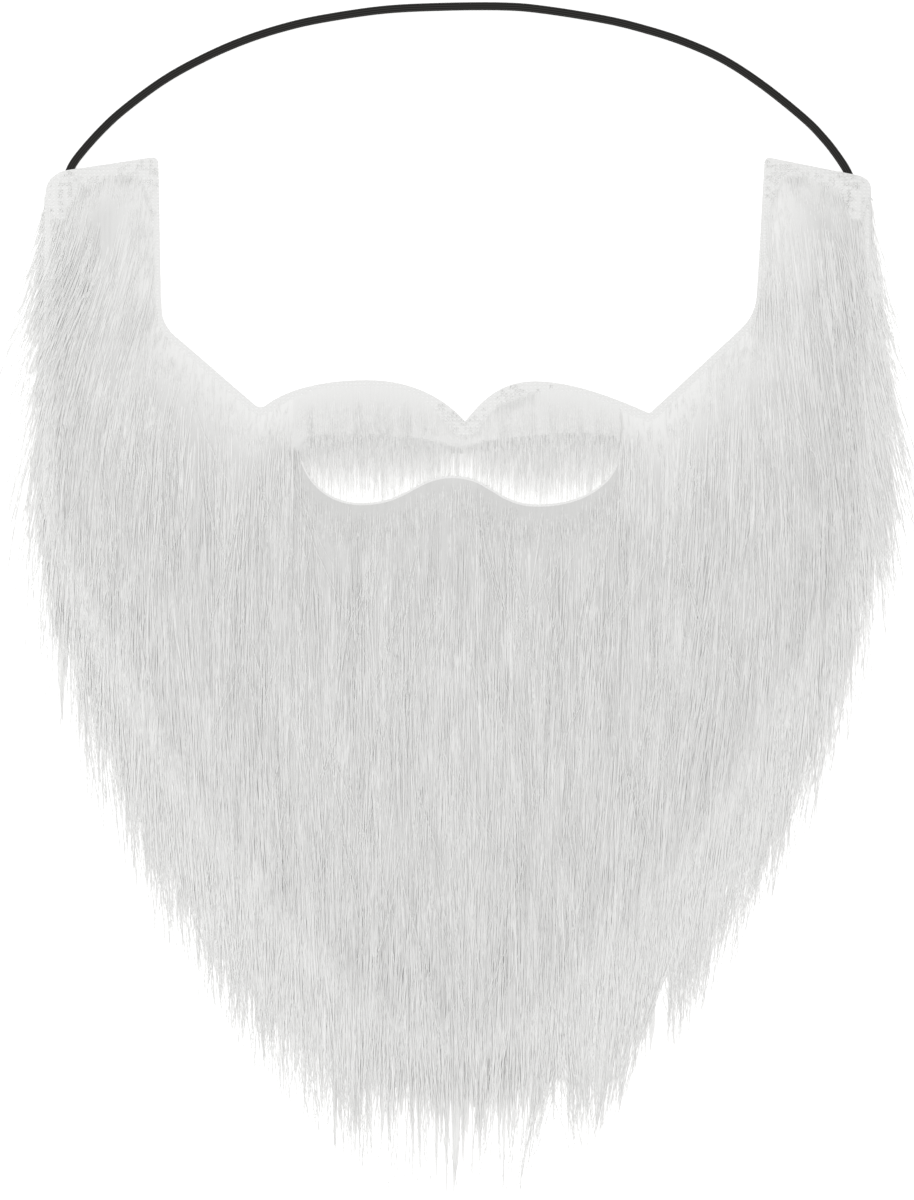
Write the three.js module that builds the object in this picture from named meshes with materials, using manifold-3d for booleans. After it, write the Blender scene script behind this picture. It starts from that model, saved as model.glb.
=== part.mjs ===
// White faux fur false beard with moustache, lying flat on its knitted back with the pile up.
// Millimetres. +Z is up, +Y points to the top of the head, and the origin is under the middle of the fur.

import * as THREE from 'three';
import { mergeVertices } from 'three/addons/utils/BufferGeometryUtils.js';
import Module from 'manifold-3d';

// Layers
const SEAT_GAP = 0.3;
const KNIT_THICKNESS = 1.5;
const MAT_THICKNESS = 2.6;
const MAT_BASE = KNIT_THICKNESS + SEAT_GAP;
const MAT_TOP = MAT_BASE + MAT_THICKNESS;
const LOCK_BASE = MAT_BASE + MAT_THICKNESS / 2;
const FUR_TOP = 14;
const TIP_TOP = 1.6;
const FLOOR_CLEARANCE = 0.25;

// Lower edges of the cloth and of the hair: half superellipses about one centre
const CHIN_CENTRE_Y = 60;
const CLOTH_EDGE = { halfWidth: 138, drop: 171, power: 1.5 };
const HAIR_EDGE = { halfWidth: 149.5, drop: 232, power: 1.44 };
const CLOTH_EDGE_STEPS = 26;

// Upper cut edge: straight stretches between rounded corners, from the left tab to the left notch
const LEFT_CORNERS = [
  { x: -137.3, y: 166.2, radius: 7 },
  { x: -99.6, y: 172.3, radius: 2.7 },
  { x: -98.6, y: 116.4, radius: 6 },
  { x: -65.6, y: 87.9, radius: 2.4 },
];

// The same on the right, from the right notch to the right tab
const RIGHT_CORNERS = [
  { x: 64.2, y: 86.6, radius: 0.8 },
  { x: 99.6, y: 119.4, radius: 7 },
  { x: 102.6, y: 172.2, radius: 2.2 },
  { x: 138.1, y: 164.9, radius: 4 },
];

// Top edge of the moustache: two humps that meet under the nose, one curve to a row
const MOUSTACHE_HUMPS = [
  { handleA: [-57, 94.5], handleB: [-45, 97.7], end: [-30, 97.7] },
  { handleA: [-16, 97.7], handleB: [-5, 92.5], end: [2.7, 84] },
  { handleA: [8, 90.5], handleB: [14, 97.3], end: [26, 97.3] },
  { handleA: [38, 97.3], handleB: [52, 92], end: [62.6, 87.3] },
];

// Mouth hole: two lobes below, a plain bow above, one curve to a row
const MOUTH_START = [-52, 72.5];
const MOUTH_CURVES = [
  { handleA: [-50, 64], handleB: [-43, 56.7], end: [-32, 56.7] },
  { handleA: [-16, 56.7], handleB: [-14, 65.8], end: [-1.3, 65.8] },
  { handleA: [11, 65.8], handleB: [13, 56.2], end: [27, 56.2] },
  { handleA: [43, 56.2], handleB: [53, 64], end: [54, 74] },
  { handleA: [52, 79], handleB: [18, 74.5], end: [1, 73] },
  { handleA: [-16, 74.5], handleB: [-50, 79], end: MOUTH_START },
];
const CURVE_STEPS = 5;

// Seams between the moustache's pile and the beard's, from each notch to the mouth's corner
const MOUSTACHE_FIELD = [
  [-64, 104],
  [-52.6, 72.6],
  [-51, 66.6],
  [53, 66.6],
  [54.6, 73.4],
  [62.6, 104],
];

// The pile ends at the upper cut edge, and may hang past the cloth everywhere else
const HAIR_ROOM = { halfWidth: 170, lowest: -190 };

// A lock's cross-section, a ridge with a flat base, and how it swells, rises and narrows along its length
const LOCK_SECTION = [
  { across: -1, up: 0 },
  { across: 1, up: 0 },
  { across: 0.7, up: 0.7 },
  { across: 0, up: 1 },
  { across: -0.7, up: 0.7 },
];
const LOCK_STEPS = 5;
const LOCK_WIDTHS = { root: 0.6, tip: 0.12, fullFrom: 0.35, fullTo: 0.6 };
const LOCK_RISE_SHARE = 0.7;
const ROOT_SINK = 0.4;
const FALL_SPEED = 4;

// Locks of the beard, in columns on both sides of the middle one
const LOCK_COLUMNS = [
  { x: 0, width: 21 },
  { x: 17, width: 21 },
  { x: 34, width: 21 },
  { x: 51, width: 21 },
  { x: 68, width: 21 },
  { x: 86, width: 21 },
  { x: 105.5, width: 18 },
  { x: 119, width: 18 },
  { x: 131.5, width: 17 },
];
const LOCK_LENGTH = 92;
const TIER_PITCH = 40;
const ROOT_INSET = 8;
const TAB_INSET = 16;
const LENGTH_SPREAD = 0.08;
const HEM = { reach: 0.985, spread: 0.02 };

// How the hair lies: angles from straight down, in degrees
const FLARE = { degrees: 10, level: 25, span: 70, power: 3 };
const RIGHT_SWEEP = { degrees: 6, from: 20, to: 100 };
const LIE_SPREAD_DEGREES = 3;
const SCATTER = { step: 12.9898, gain: 43758.5453 };

// Locks of the moustache
const MOUSTACHE_LOCKS = { count: 13, left: -55, right: 54, width: 11.5, top: 8.2 };
const MOUSTACHE_TIP_Y = 67.8;
const MOUSTACHE_ROOT_INSET = 5;

// Flat ribbed elastic cord, and the way its middle line lies on the floor from tab to tab
const CORD_WIDTH = 2.7;
const CORD_THICKNESS = 1.5;
const CORD_SIDES = 8;
const CORD_STEPS = 48;
const CORD_HEIGHT = CORD_THICKNESS / 2 + 0.05;
const CORD_ROUTE = [
  [-132.4, 154.6],
  [-131.6, 160.4],
  [-129.7, 166.3],
  [-126.9, 171.5],
  [-119.3, 180.3],
  [-111, 188],
  [-97.7, 197.8],
  [-84.3, 205.2],
  [-71, 211],
  [-57.7, 215.3],
  [-44.3, 218.3],
  [-24.3, 221.2],
  [-4.3, 222.2],
  [15.7, 222.3],
  [29, 221.2],
  [49, 218],
  [62.3, 214.8],
  [75.7, 210.5],
  [89, 204.5],
  [102.3, 195.8],
  [115.7, 185],
  [122.3, 178.3],
  [127, 172.3],
  [130.5, 166.6],
  [132.3, 160.6],
  [132.9, 154.6],
];
const SEWN_SHARE = 0.062;
const TUNNEL_STEPS = 8;

const { clamp, degToRad, lerp, smoothstep } = THREE.MathUtils;
const wasm = await Module();
wasm.setup();

const material = (color, roughness) => new THREE.MeshStandardMaterial({ color, roughness, metalness: 0 });
const WHITE_KNIT = material(0xe6e6e4, 0.9);
const WHITE_PILE = material(0xd9d9d8, 0.6);
const BLACK_ELASTIC = material(0x30302e, 0.7);

// Closed geometry to a solid that can be joined and cut
function solid(geometry) {
  geometry.deleteAttribute('normal');
  geometry.deleteAttribute('uv');
  const merged = mergeVertices(geometry);
  const vertProperties = new Float32Array(merged.attributes.position.array);
  const triVerts = new Uint32Array(merged.index.array);
  return new wasm.Manifold(new wasm.Mesh({ numProp: 3, vertProperties, triVerts }));
}

// Solid to a named mesh
function piece(name, body, finish) {
  const { vertProperties, triVerts } = body.getMesh();
  const geometry = new THREE.BufferGeometry();
  geometry.setAttribute('position', new THREE.BufferAttribute(vertProperties, 3));
  geometry.setIndex(new THREE.BufferAttribute(triVerts, 1));
  geometry.computeVertexNormals();
  const mesh = new THREE.Mesh(geometry, finish);
  mesh.name = name;
  return mesh;
}

// Upright prism of a shape between two heights
function prism(shape, low, high) {
  const settings = { depth: high - low, bevelEnabled: false, curveSegments: CURVE_STEPS };
  const geometry = new THREE.ExtrudeGeometry(shape, settings);
  geometry.translate(0, 0, low);
  return solid(geometry);
}

// Line to a corner, round it, and stop where the round ends
function roundCorner(path, before, corner, after) {
  const here = new THREE.Vector2(corner.x, corner.y);
  const back = new THREE.Vector2(before.x, before.y).sub(here).setLength(corner.radius);
  const ahead = new THREE.Vector2(after.x, after.y).sub(here).setLength(corner.radius);
  path.lineTo(here.x + back.x, here.y + back.y);
  path.quadraticCurveTo(here.x, here.y, here.x + ahead.x, here.y + ahead.y);
}

// Smooth curves, one after the other
function followCurves(path, curves) {
  for (const { handleA, handleB, end } of curves) {
    path.bezierCurveTo(...handleA, ...handleB, ...end);
  }
}

// Half superellipse below the chin's centre, from right to left
function lowerEdge(path, edge) {
  const exponent = 2 / edge.power;
  for (let i = 0; i <= CLOTH_EDGE_STEPS; i += 1) {
    const angle = (Math.PI * i) / CLOTH_EDGE_STEPS;
    const side = Math.sign(Math.round(Math.cos(angle) * 1e6));
    const x = side * edge.halfWidth * Math.abs(Math.cos(angle)) ** exponent;
    const y = CHIN_CENTRE_Y - edge.drop * Math.abs(Math.sin(angle)) ** exponent;
    path.lineTo(x, y);
  }
}

// Upper cut edge between two side points: left tab, cheek, moustache humps, cheek, right tab
function upperEdge(path, left, right) {
  const [humpX, humpY] = MOUSTACHE_HUMPS[0].handleA;
  const [lastX, lastY] = MOUSTACHE_HUMPS.at(-1).end;
  const leftLine = [left, ...LEFT_CORNERS, { x: humpX, y: humpY }];
  const rightLine = [{ x: lastX, y: lastY }, ...RIGHT_CORNERS, right];
  path.moveTo(left.x, left.y);
  LEFT_CORNERS.forEach((corner, i) => roundCorner(path, leftLine[i], corner, leftLine[i + 2]));
  followCurves(path, MOUSTACHE_HUMPS);
  RIGHT_CORNERS.forEach((corner, i) => roundCorner(path, rightLine[i], corner, rightLine[i + 2]));
}

// The cut cloth, with the mouth hole
function clothOutline() {
  const outline = new THREE.Shape();
  const side = { x: CLOTH_EDGE.halfWidth, y: CHIN_CENTRE_Y };
  upperEdge(outline, { x: -side.x, y: side.y }, side);
  lowerEdge(outline, CLOTH_EDGE);
  const mouth = new THREE.Path();
  mouth.moveTo(...MOUTH_START);
  followCurves(mouth, MOUTH_CURVES);
  outline.holes.push(mouth);
  return outline;
}

// Where the pile may lie: up to the cut edge above, open at the sides and below
function hairRoom() {
  const room = new THREE.Shape();
  const side = { x: HAIR_ROOM.halfWidth, y: CHIN_CENTRE_Y };
  upperEdge(room, { x: -side.x, y: side.y }, side);
  room.lineTo(side.x, side.y);
  room.lineTo(side.x, HAIR_ROOM.lowest);
  room.lineTo(-side.x, HAIR_ROOM.lowest);
  return room;
}

// Flat oval swept along a curve in the floor's plane: height is its first axis, width its second
function flatTube(width, thickness, curve, steps) {
  const section = new THREE.Shape();
  for (let i = 0; i < CORD_SIDES; i += 1) {
    const angle = (2 * Math.PI * (i + 0.5)) / CORD_SIDES;
    const x = (thickness / 2) * Math.cos(angle);
    const y = (width / 2) * Math.sin(angle);
    section[i === 0 ? 'moveTo' : 'lineTo'](x / Math.cos(Math.PI / CORD_SIDES), y);
  }
  return solid(new THREE.ExtrudeGeometry(section, { extrudePath: curve, steps }));
}

const cordCurve = new THREE.CatmullRomCurve3(
  CORD_ROUTE.map(([x, y]) => new THREE.Vector3(x, y, CORD_HEIGHT)),
);

// Room around the two sewn ends of the cord, grown by a margin on every side
function cordEnds(margin) {
  const ends = [0, 1].map((end) => {
    const points = [];
    for (let i = 0; i <= TUNNEL_STEPS; i += 1) {
      const along = (SEWN_SHARE * i) / TUNNEL_STEPS;
      points.push(cordCurve.getPointAt(Math.abs(end - along)));
    }
    const outwards = points[0].clone().sub(points[1]).setLength(margin);
    points[0].add(outwards);
    const tunnel = new THREE.CatmullRomCurve3(points);
    return flatTube(CORD_WIDTH + 2 * margin, CORD_THICKNESS + 2 * margin, tunnel, TUNNEL_STEPS);
  });
  return ends[0].add(ends[1]);
}

// Knitted cloth, lifted in a low ridge over each sewn cord end
function knitBacking(outline) {
  const column = prism(outline, 0, FUR_TOP);
  const ridges = cordEnds(SEAT_GAP + KNIT_THICKNESS).intersect(column);
  return prism(outline, 0, KNIT_THICKNESS).add(ridges).subtract(cordEnds(SEAT_GAP));
}

// Distance ratio of a point to a lower edge: 1 on the edge, less inside it
function edgeLevel(edge, x, y) {
  const across = Math.abs(x) / edge.halfWidth;
  const down = Math.max(0, CHIN_CENTRE_Y - y) / edge.drop;
  return (across ** edge.power + down ** edge.power) ** (1 / edge.power);
}

// How far the hair has fallen from the cloth to the floor: 0 over the cloth, 1 at the hair's edge
function fallen(x, y) {
  const past = Math.max(0, edgeLevel(CLOTH_EDGE, x, y) - 1);
  const left = Math.max(0, 1 - edgeLevel(HAIR_EDGE, x, y));
  return past === 0 ? 0 : past / (past + left);
}

// Repeatable spread from -1 to 1
function scatter(seed) {
  const wave = Math.sin(seed * SCATTER.step) * SCATTER.gain;
  return 2 * (wave - Math.floor(wave)) - 1;
}

// Lie of the hair at a point, in radians from straight down, positive towards +X
function lie(x, y) {
  const { degrees, level, span, power } = FLARE;
  const out = (Math.abs(x) / CLOTH_EDGE.halfWidth) ** power;
  const flare = Math.sign(x) * degrees * out * clamp((y - level) / span, -1, 1);
  const sweep = RIGHT_SWEEP.degrees * smoothstep(x, RIGHT_SWEEP.from, RIGHT_SWEEP.to);
  return degToRad(flare - sweep * (1 - out));
}

// Share of a lock's full width at a place along it
function swell(t) {
  const { root, tip, fullFrom, fullTo } = LOCK_WIDTHS;
  const grown = lerp(root, 1, smoothstep(t, 0, fullFrom));
  return grown * lerp(1, tip, smoothstep(t, fullTo, 1));
}

// One lock: a ridge that rises from its root, lies along the hair and narrows to a tip
function lock({ root, tip, width, top, falls }) {
  const section = new THREE.Shape(LOCK_SECTION.map(({ across, up }) => new THREE.Vector2(across, up)));
  const settings = { depth: 1, steps: LOCK_STEPS, bevelEnabled: false };
  const geometry = new THREE.ExtrudeGeometry(section, settings);
  const place = geometry.attributes.position;
  const along = tip.clone().sub(root);
  const side = new THREE.Vector2(-along.y, along.x).normalize();
  for (let i = 0; i < place.count; i += 1) {
    const t = place.getZ(i);
    const middle = root.clone().addScaledVector(along, t);
    const spot = middle.clone().addScaledVector(side, (place.getX(i) * swell(t) * width) / 2);
    const drop = falls ? fallen(middle.x, middle.y) : 0;
    const rise = Math.sin((Math.PI / 2) * Math.min(1, t / LOCK_RISE_SHARE));
    const crown = lerp(MAT_TOP - ROOT_SINK + (top - MAT_TOP) * rise, TIP_TOP, drop);
    const base = lerp(LOCK_BASE, FLOOR_CLEARANCE, Math.min(1, drop * FALL_SPEED));
    place.setXYZ(i, spot.x, spot.y, lerp(base, crown, place.getY(i)));
  }
  return solid(geometry);
}

// Highest root in a column of the beard, set back from the cut edge
function highestRoot(x) {
  const [rightNotch, rightKnee, , rightTab] = RIGHT_CORNERS;
  const notch = x < 0 ? LEFT_CORNERS.at(-1) : rightNotch;
  const knee = x < 0 ? LEFT_CORNERS.at(-2) : rightKnee;
  const share = (x - notch.x) / (knee.x - notch.x);
  if (share > 1) {
    return rightTab.y - TAB_INSET;
  }
  if (share < 0) {
    return MOUTH_CURVES[0].end[1] - ROOT_INSET;
  }
  return lerp(notch.y, knee.y, share) - ROOT_INSET;
}

// Tip of a lock: its own length along the lie of the hair, or where it meets the hair's edge
function tipOf(root, seed, hem) {
  const angle = lie(root.x, root.y) + degToRad(LIE_SPREAD_DEGREES * scatter(seed));
  const reach = hem ? HAIR_EDGE.drop : LOCK_LENGTH * (1 + LENGTH_SPREAD * scatter(seed + 0.5));
  const edge = HEM.reach + HEM.spread * scatter(seed + 0.25);
  const tip = root.clone();
  for (let length = 0; length < reach && edgeLevel(HAIR_EDGE, tip.x, tip.y) < edge; length += 1) {
    tip.set(root.x + Math.sin(angle) * length, root.y - Math.cos(angle) * length);
  }
  return tip;
}

// One column of locks from the cut edge to the hem; an odd column's second lock is half a tier early
function lockColumn(x, width, odd) {
  const locks = [];
  const onCloth = (y) => edgeLevel(CLOTH_EDGE, x, y - ROOT_INSET) < 1;
  let step = odd ? TIER_PITCH / 2 : TIER_PITCH;
  for (let y = highestRoot(x); onCloth(y); y -= step) {
    const root = new THREE.Vector2(x, y);
    const tip = tipOf(root, x + y, !onCloth(y - TIER_PITCH));
    locks.push(lock({ root, tip, width, top: FUR_TOP, falls: true }));
    step = locks.length === 1 ? step : TIER_PITCH;
  }
  return locks;
}

// All the locks of the beard
function beardLocks() {
  return LOCK_COLUMNS.flatMap(({ x, width }, i) => {
    const sides = x === 0 ? [x] : [-x, x];
    return sides.flatMap((place) => lockColumn(place, width, i % 2 === 1));
  });
}

// Short locks side by side, hanging from the moustache's top edge over the top of the mouth
function moustacheLocks() {
  const { count, left, right, width, top } = MOUSTACHE_LOCKS;
  const edge = new THREE.Path();
  edge.moveTo(LEFT_CORNERS.at(-1).x, LEFT_CORNERS.at(-1).y);
  followCurves(edge, MOUSTACHE_HUMPS);
  const topEdge = edge.getPoints(CURVE_STEPS * 2);
  return Array.from({ length: count }, (_, i) => {
    const x = lerp(left, right, i / (count - 1));
    const next = topEdge.findIndex((point) => point.x >= x);
    const root = new THREE.Vector2(x, topEdge[next].y - MOUSTACHE_ROOT_INSET);
    const tip = new THREE.Vector2(x + scatter(i), MOUSTACHE_TIP_Y + scatter(i + 0.5));
    return lock({ root, tip, width, top, falls: false });
  });
}

// Column of a shape through all the layers, grown sideways by a margin
function layersColumn(shape, margin) {
  const settings = { depth: 2 * FUR_TOP, bevelSize: margin, bevelThickness: 1, bevelSegments: 1 };
  return solid(new THREE.ExtrudeGeometry(shape, { ...settings, curveSegments: CURVE_STEPS }));
}

// Room that the cloth and its ridges need under the pile
function clothRoom(outline) {
  const depth = KNIT_THICKNESS;
  const settings = { depth, bevelSize: SEAT_GAP, bevelThickness: SEAT_GAP, bevelSegments: 1 };
  const slab = solid(new THREE.ExtrudeGeometry(outline, { ...settings, curveSegments: CURVE_STEPS }));
  return slab.add(cordEnds(2 * SEAT_GAP + KNIT_THICKNESS));
}

// Root mat and locks fused together, kept inside their room and cut clear of the cloth below
function pile(outline, locks, room) {
  const mat = prism(outline, MAT_BASE, MAT_TOP);
  return wasm.Manifold.union([mat, ...locks]).intersect(room).subtract(clothRoom(outline));
}

const outline = clothOutline();
const moustacheField = new THREE.Shape(MOUSTACHE_FIELD.map(([x, y]) => new THREE.Vector2(x, y)));
const beardRoom = prism(hairRoom(), 0, FUR_TOP).subtract(layersColumn(moustacheField, SEAT_GAP));
const moustacheRoom = prism(moustacheField, 0, FUR_TOP);

const falseBeard = new THREE.Group();
falseBeard.add(
  piece('knit_backing', knitBacking(outline), WHITE_KNIT),
  piece('beard_pile', pile(outline, beardLocks(), beardRoom), WHITE_PILE),
  piece('moustache_pile', pile(outline, moustacheLocks(), moustacheRoom), WHITE_PILE),
  piece('elastic_cord', flatTube(CORD_WIDTH, CORD_THICKNESS, cordCurve, CORD_STEPS), BLACK_ELASTIC),
);

export default falseBeard;
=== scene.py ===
"""White faux fur false beard with moustache: the finish of every surface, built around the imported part.

The beard lies on its knitted back with the pile up. Sizes in the classes are millimetres, angles are
degrees, and the meshes are made in metres.
"""

import logging
import math
from dataclasses import dataclass
from enum import Enum
from typing import Any

import bpy
import numpy as np
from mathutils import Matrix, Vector
from mathutils.geometry import delaunay_2d_cdt


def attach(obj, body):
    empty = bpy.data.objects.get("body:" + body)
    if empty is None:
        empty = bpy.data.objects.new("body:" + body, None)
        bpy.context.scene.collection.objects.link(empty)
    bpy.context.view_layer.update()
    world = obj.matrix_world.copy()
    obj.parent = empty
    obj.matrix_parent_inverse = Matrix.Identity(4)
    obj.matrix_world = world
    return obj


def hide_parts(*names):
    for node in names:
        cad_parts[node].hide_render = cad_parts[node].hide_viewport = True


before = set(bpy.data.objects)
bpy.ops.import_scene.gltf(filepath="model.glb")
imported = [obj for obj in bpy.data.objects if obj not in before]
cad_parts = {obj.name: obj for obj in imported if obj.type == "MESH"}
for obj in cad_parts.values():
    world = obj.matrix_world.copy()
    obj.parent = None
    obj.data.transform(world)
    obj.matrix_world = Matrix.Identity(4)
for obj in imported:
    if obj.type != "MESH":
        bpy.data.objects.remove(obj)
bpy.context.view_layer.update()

LOG = logging.getLogger("false_beard")
MM = 0.001
TINY = 1e-9  # keeps a division away from zero
WAVE_LENGTH = math.pi / 10  # one band of Blender's wave texture at scale 1
BODY = "root"
Row = tuple[float, float]


def linear(hex_colour: str) -> tuple[float, float, float, float]:
    """Turns an sRGB colour to linear values.

    Args:
        hex_colour: A hash sign and six hex digits.

    Returns:
        Linear red, green and blue, and full alpha.
    """
    shares = [int(hex_colour[i : i + 2], 16) / 255 for i in (1, 3, 5)]
    red, green, blue = [s / 12.92 if s <= 0.04045 else ((s + 0.055) / 1.055) ** 2.4 for s in shares]
    return red, green, blue, 1.0


def add_node(
    tree: bpy.types.NodeTree, kind: str, inputs: dict | None = None, **settings: Any
) -> bpy.types.Node:
    """Adds a node with its settings and links.

    Args:
        tree: The tree that gets the node.
        kind: The node's type name.
        inputs: For an input's name or number, a socket to link from or a constant value.
        **settings: The node's own properties.

    Returns:
        The new node.
    """
    node = tree.nodes.new(kind)
    for name, value in settings.items():
        setattr(node, name, value)
    for name, source in (inputs or {}).items():
        if isinstance(source, bpy.types.NodeSocket):
            tree.links.new(source, node.inputs[name])
        else:
            node.inputs[name].default_value = source
    return node


def between(low: Any, high: Any, share: Any) -> Any:
    """Goes a share of the way from low to high."""
    return low + (high - low) * share


def ease(value: np.ndarray, low: Any, high: Any) -> np.ndarray:
    """Rises smoothly from 0 at low to 1 at high."""
    share = np.clip((value - low) / (high - low), 0, 1)
    return share * share * (3 - 2 * share)


def mirrored(value: np.ndarray) -> np.ndarray:
    """Folds what lies a little outside 0 to 1 back into it."""
    return 1 - np.abs(1 - np.abs(value) % 2)


def heading(degrees: np.ndarray) -> np.ndarray:
    """Turns angles from straight down, positive to the right, to steps of length one."""
    angle = np.radians(degrees)
    return np.stack([np.sin(angle), -np.cos(angle)], -1)


def inside(spots: np.ndarray, polygon: np.ndarray) -> np.ndarray:
    """Tells which spots lie inside a polygon.

    Args:
        spots: Points, one to a row.
        polygon: Corners in order, one to a row.

    Returns:
        True for each spot that is inside.
    """
    found = np.zeros(len(spots), bool)
    for (ax, ay), (bx, by) in zip(polygon, np.roll(polygon, -1, 0)):
        crosses = (ay > spots[:, 1]) != (by > spots[:, 1])
        rise = by - ay if by != ay else 1.0
        found ^= crosses & (spots[:, 0] < ax + (spots[:, 1] - ay) * (bx - ax) / rise)
    return found


def distance_to(spots: np.ndarray, line: np.ndarray) -> np.ndarray:
    """Measures how far spots lie from a line of straight stretches.

    Args:
        spots: Points, one to a row.
        line: The line's points in order.

    Returns:
        The shortest distance for each spot.
    """
    nearest = np.full(len(spots), np.inf)
    for start, end in zip(line[:-1], line[1:]):
        along = end - start
        share = np.clip((spots - start) @ along / max(along @ along, TINY), 0, 1)
        nearest = np.minimum(nearest, np.linalg.norm(spots - start - share[:, None] * along, axis=1))
    return nearest


def mesh_piece(
    name: str,
    points: np.ndarray,
    faces: np.ndarray,
    material: bpy.types.Material,
    smooth: bool = True,
) -> bpy.types.Object:
    """Makes a mesh object that rides on the part's body.

    Args:
        name: The piece's name.
        points: Vertices in millimetres, one to a row.
        faces: Triangles as rows of vertex numbers.
        material: The piece's finish.
        smooth: Whether light runs evenly over the edges between faces.

    Returns:
        The new object.
    """
    mesh = bpy.data.meshes.new(name)
    mesh.vertices.add(len(points))
    mesh.vertices.foreach_set("co", (points * MM).astype(np.float32).ravel())
    mesh.loops.add(faces.size)
    mesh.loops.foreach_set("vertex_index", faces.astype(np.int32).ravel())
    mesh.polygons.add(len(faces))
    mesh.polygons.foreach_set("loop_start", np.arange(0, faces.size, 3, dtype=np.int32))
    mesh.polygons.foreach_set("use_smooth", np.full(len(faces), smooth))
    mesh.update(calc_edges=True)
    mesh.materials.append(material)
    piece = bpy.data.objects.new(name, mesh)
    bpy.context.scene.collection.objects.link(piece)
    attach(piece, BODY)
    LOG.info("%s: %d triangles", name, len(faces))
    return piece


def slab_piece(
    name: str,
    spots: np.ndarray,
    faces: np.ndarray,
    low: np.ndarray,
    top: np.ndarray,
    material: bpy.types.Material,
) -> bpy.types.Object:
    """Makes a closed sheet with an upper face, a lower face and walls round its borders.

    Args:
        name: The piece's name.
        spots: Places seen from above, one to a row.
        faces: Triangles as rows of place numbers.
        low: The height of the lower face at each place.
        top: The height of the upper face at each place.
        material: The piece's finish.

    Returns:
        The new object, whose points are the upper face's and then the lower face's.
    """
    count = len(spots)
    points = np.concatenate([np.column_stack([spots, top]), np.column_stack([spots, low])])
    start, end = border(faces, count).T
    near = np.column_stack([end, start, start + count])
    far = np.column_stack([end, start + count, end + count])
    piece = mesh_piece(name, points, np.concatenate([faces, faces[:, ::-1] + count, near, far]), material)
    edges = np.empty(2 * len(piece.data.edges), np.int32)
    piece.data.edges.foreach_get("vertices", edges)
    low_end, high_end = np.sort(edges.reshape(-1, 2) % count, axis=1).T
    rim = np.sort(np.column_stack([start, end]), axis=1) @ (count, 1)
    crisp = piece.data.attributes.new("sharp_edge", "BOOLEAN", "EDGE")
    crisp.data.foreach_set("value", np.isin(low_end * count + high_end, rim))
    return piece


def border(faces: np.ndarray, count: int) -> np.ndarray:
    """Finds the edges that only one triangle has.

    Args:
        faces: Triangles as rows of point numbers.
        count: How many points there are.

    Returns:
        Rows of two point numbers, in the order that their triangle has them.
    """
    edges = np.concatenate([faces[:, [0, 1]], faces[:, [1, 2]], faces[:, [2, 0]]])
    here, back = edges @ (count, 1), edges @ (1, count)
    return edges[~np.isin(here, back)]


def repeated(faces: np.ndarray, count: int, size: int) -> np.ndarray:
    """Repeats one unit's triangles for a count of units, each with size points of its own."""
    return (np.arange(count)[:, None, None] * size + faces).reshape(-1, 3)


def add_values(piece: bpy.types.Object, name: str, values: np.ndarray) -> None:
    """Gives a piece one number for each vertex, which its finish reads by name."""
    attribute = piece.data.attributes.new(name, "FLOAT", "POINT")
    attribute.data.foreach_set("value", values.astype(np.float32).ravel())


class Finish:
    """What every finish shares: nodes of its own, which lead to one shader."""

    name: str
    roughness: float

    def surface(self, tree: bpy.types.NodeTree) -> dict[str, Any]:
        """Adds the finish's own nodes and gives the shader's inputs by name."""
        raise NotImplementedError

    def material(self) -> bpy.types.Material:
        """Makes the finish as a material.

        Returns:
            The new material.
        """
        material = bpy.data.materials.new(self.name)
        material.use_nodes = True
        tree = material.node_tree
        tree.nodes.clear()
        inputs = {"Roughness": self.roughness, **self.surface(tree)}
        shader = add_node(tree, "ShaderNodeBsdfPrincipled", inputs)
        add_node(tree, "ShaderNodeOutputMaterial", {"Surface": shader.outputs[0]})
        return material


@dataclass(frozen=True)
class AcrylicPile(Finish):
    """White acrylic staple, tufted long and brushed flat.

    Fine fibres lie side by side, so the eye sees streaks of near whites with a soft silky shine.
    """

    name: str
    shade: str
    light: str
    tip: str
    roughness: float = 0.5
    ior: float = 1.49

    def surface(self, tree: bpy.types.NodeTree) -> dict[str, Any]:
        """Gives each fibre its own white, with painted light where the pile is pale, and paints light or
        shade towards its tip and at the hem.

        Args:
            tree: The material's tree.

        Returns:
            The shader's inputs by name.
        """
        tint = add_node(tree, "ShaderNodeAttribute", attribute_name="tint")
        painted_shading = add_node(tree, "ShaderNodeAttribute", attribute_name="painted_shading")
        whites = {0: tint.outputs["Fac"], 6: linear(self.shade), 7: linear(self.light)}
        fibre = add_node(tree, "ShaderNodeMix", whites, data_type="RGBA")
        # painted light or shade: the tip colour towards the tip, and paler at the hem
        ends = {0: painted_shading.outputs["Fac"], 6: fibre.outputs[2], 7: linear(self.tip)}
        colour = add_node(tree, "ShaderNodeMix", ends, data_type="RGBA")
        return {"Base Color": colour.outputs[2], "IOR": self.ior}


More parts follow.
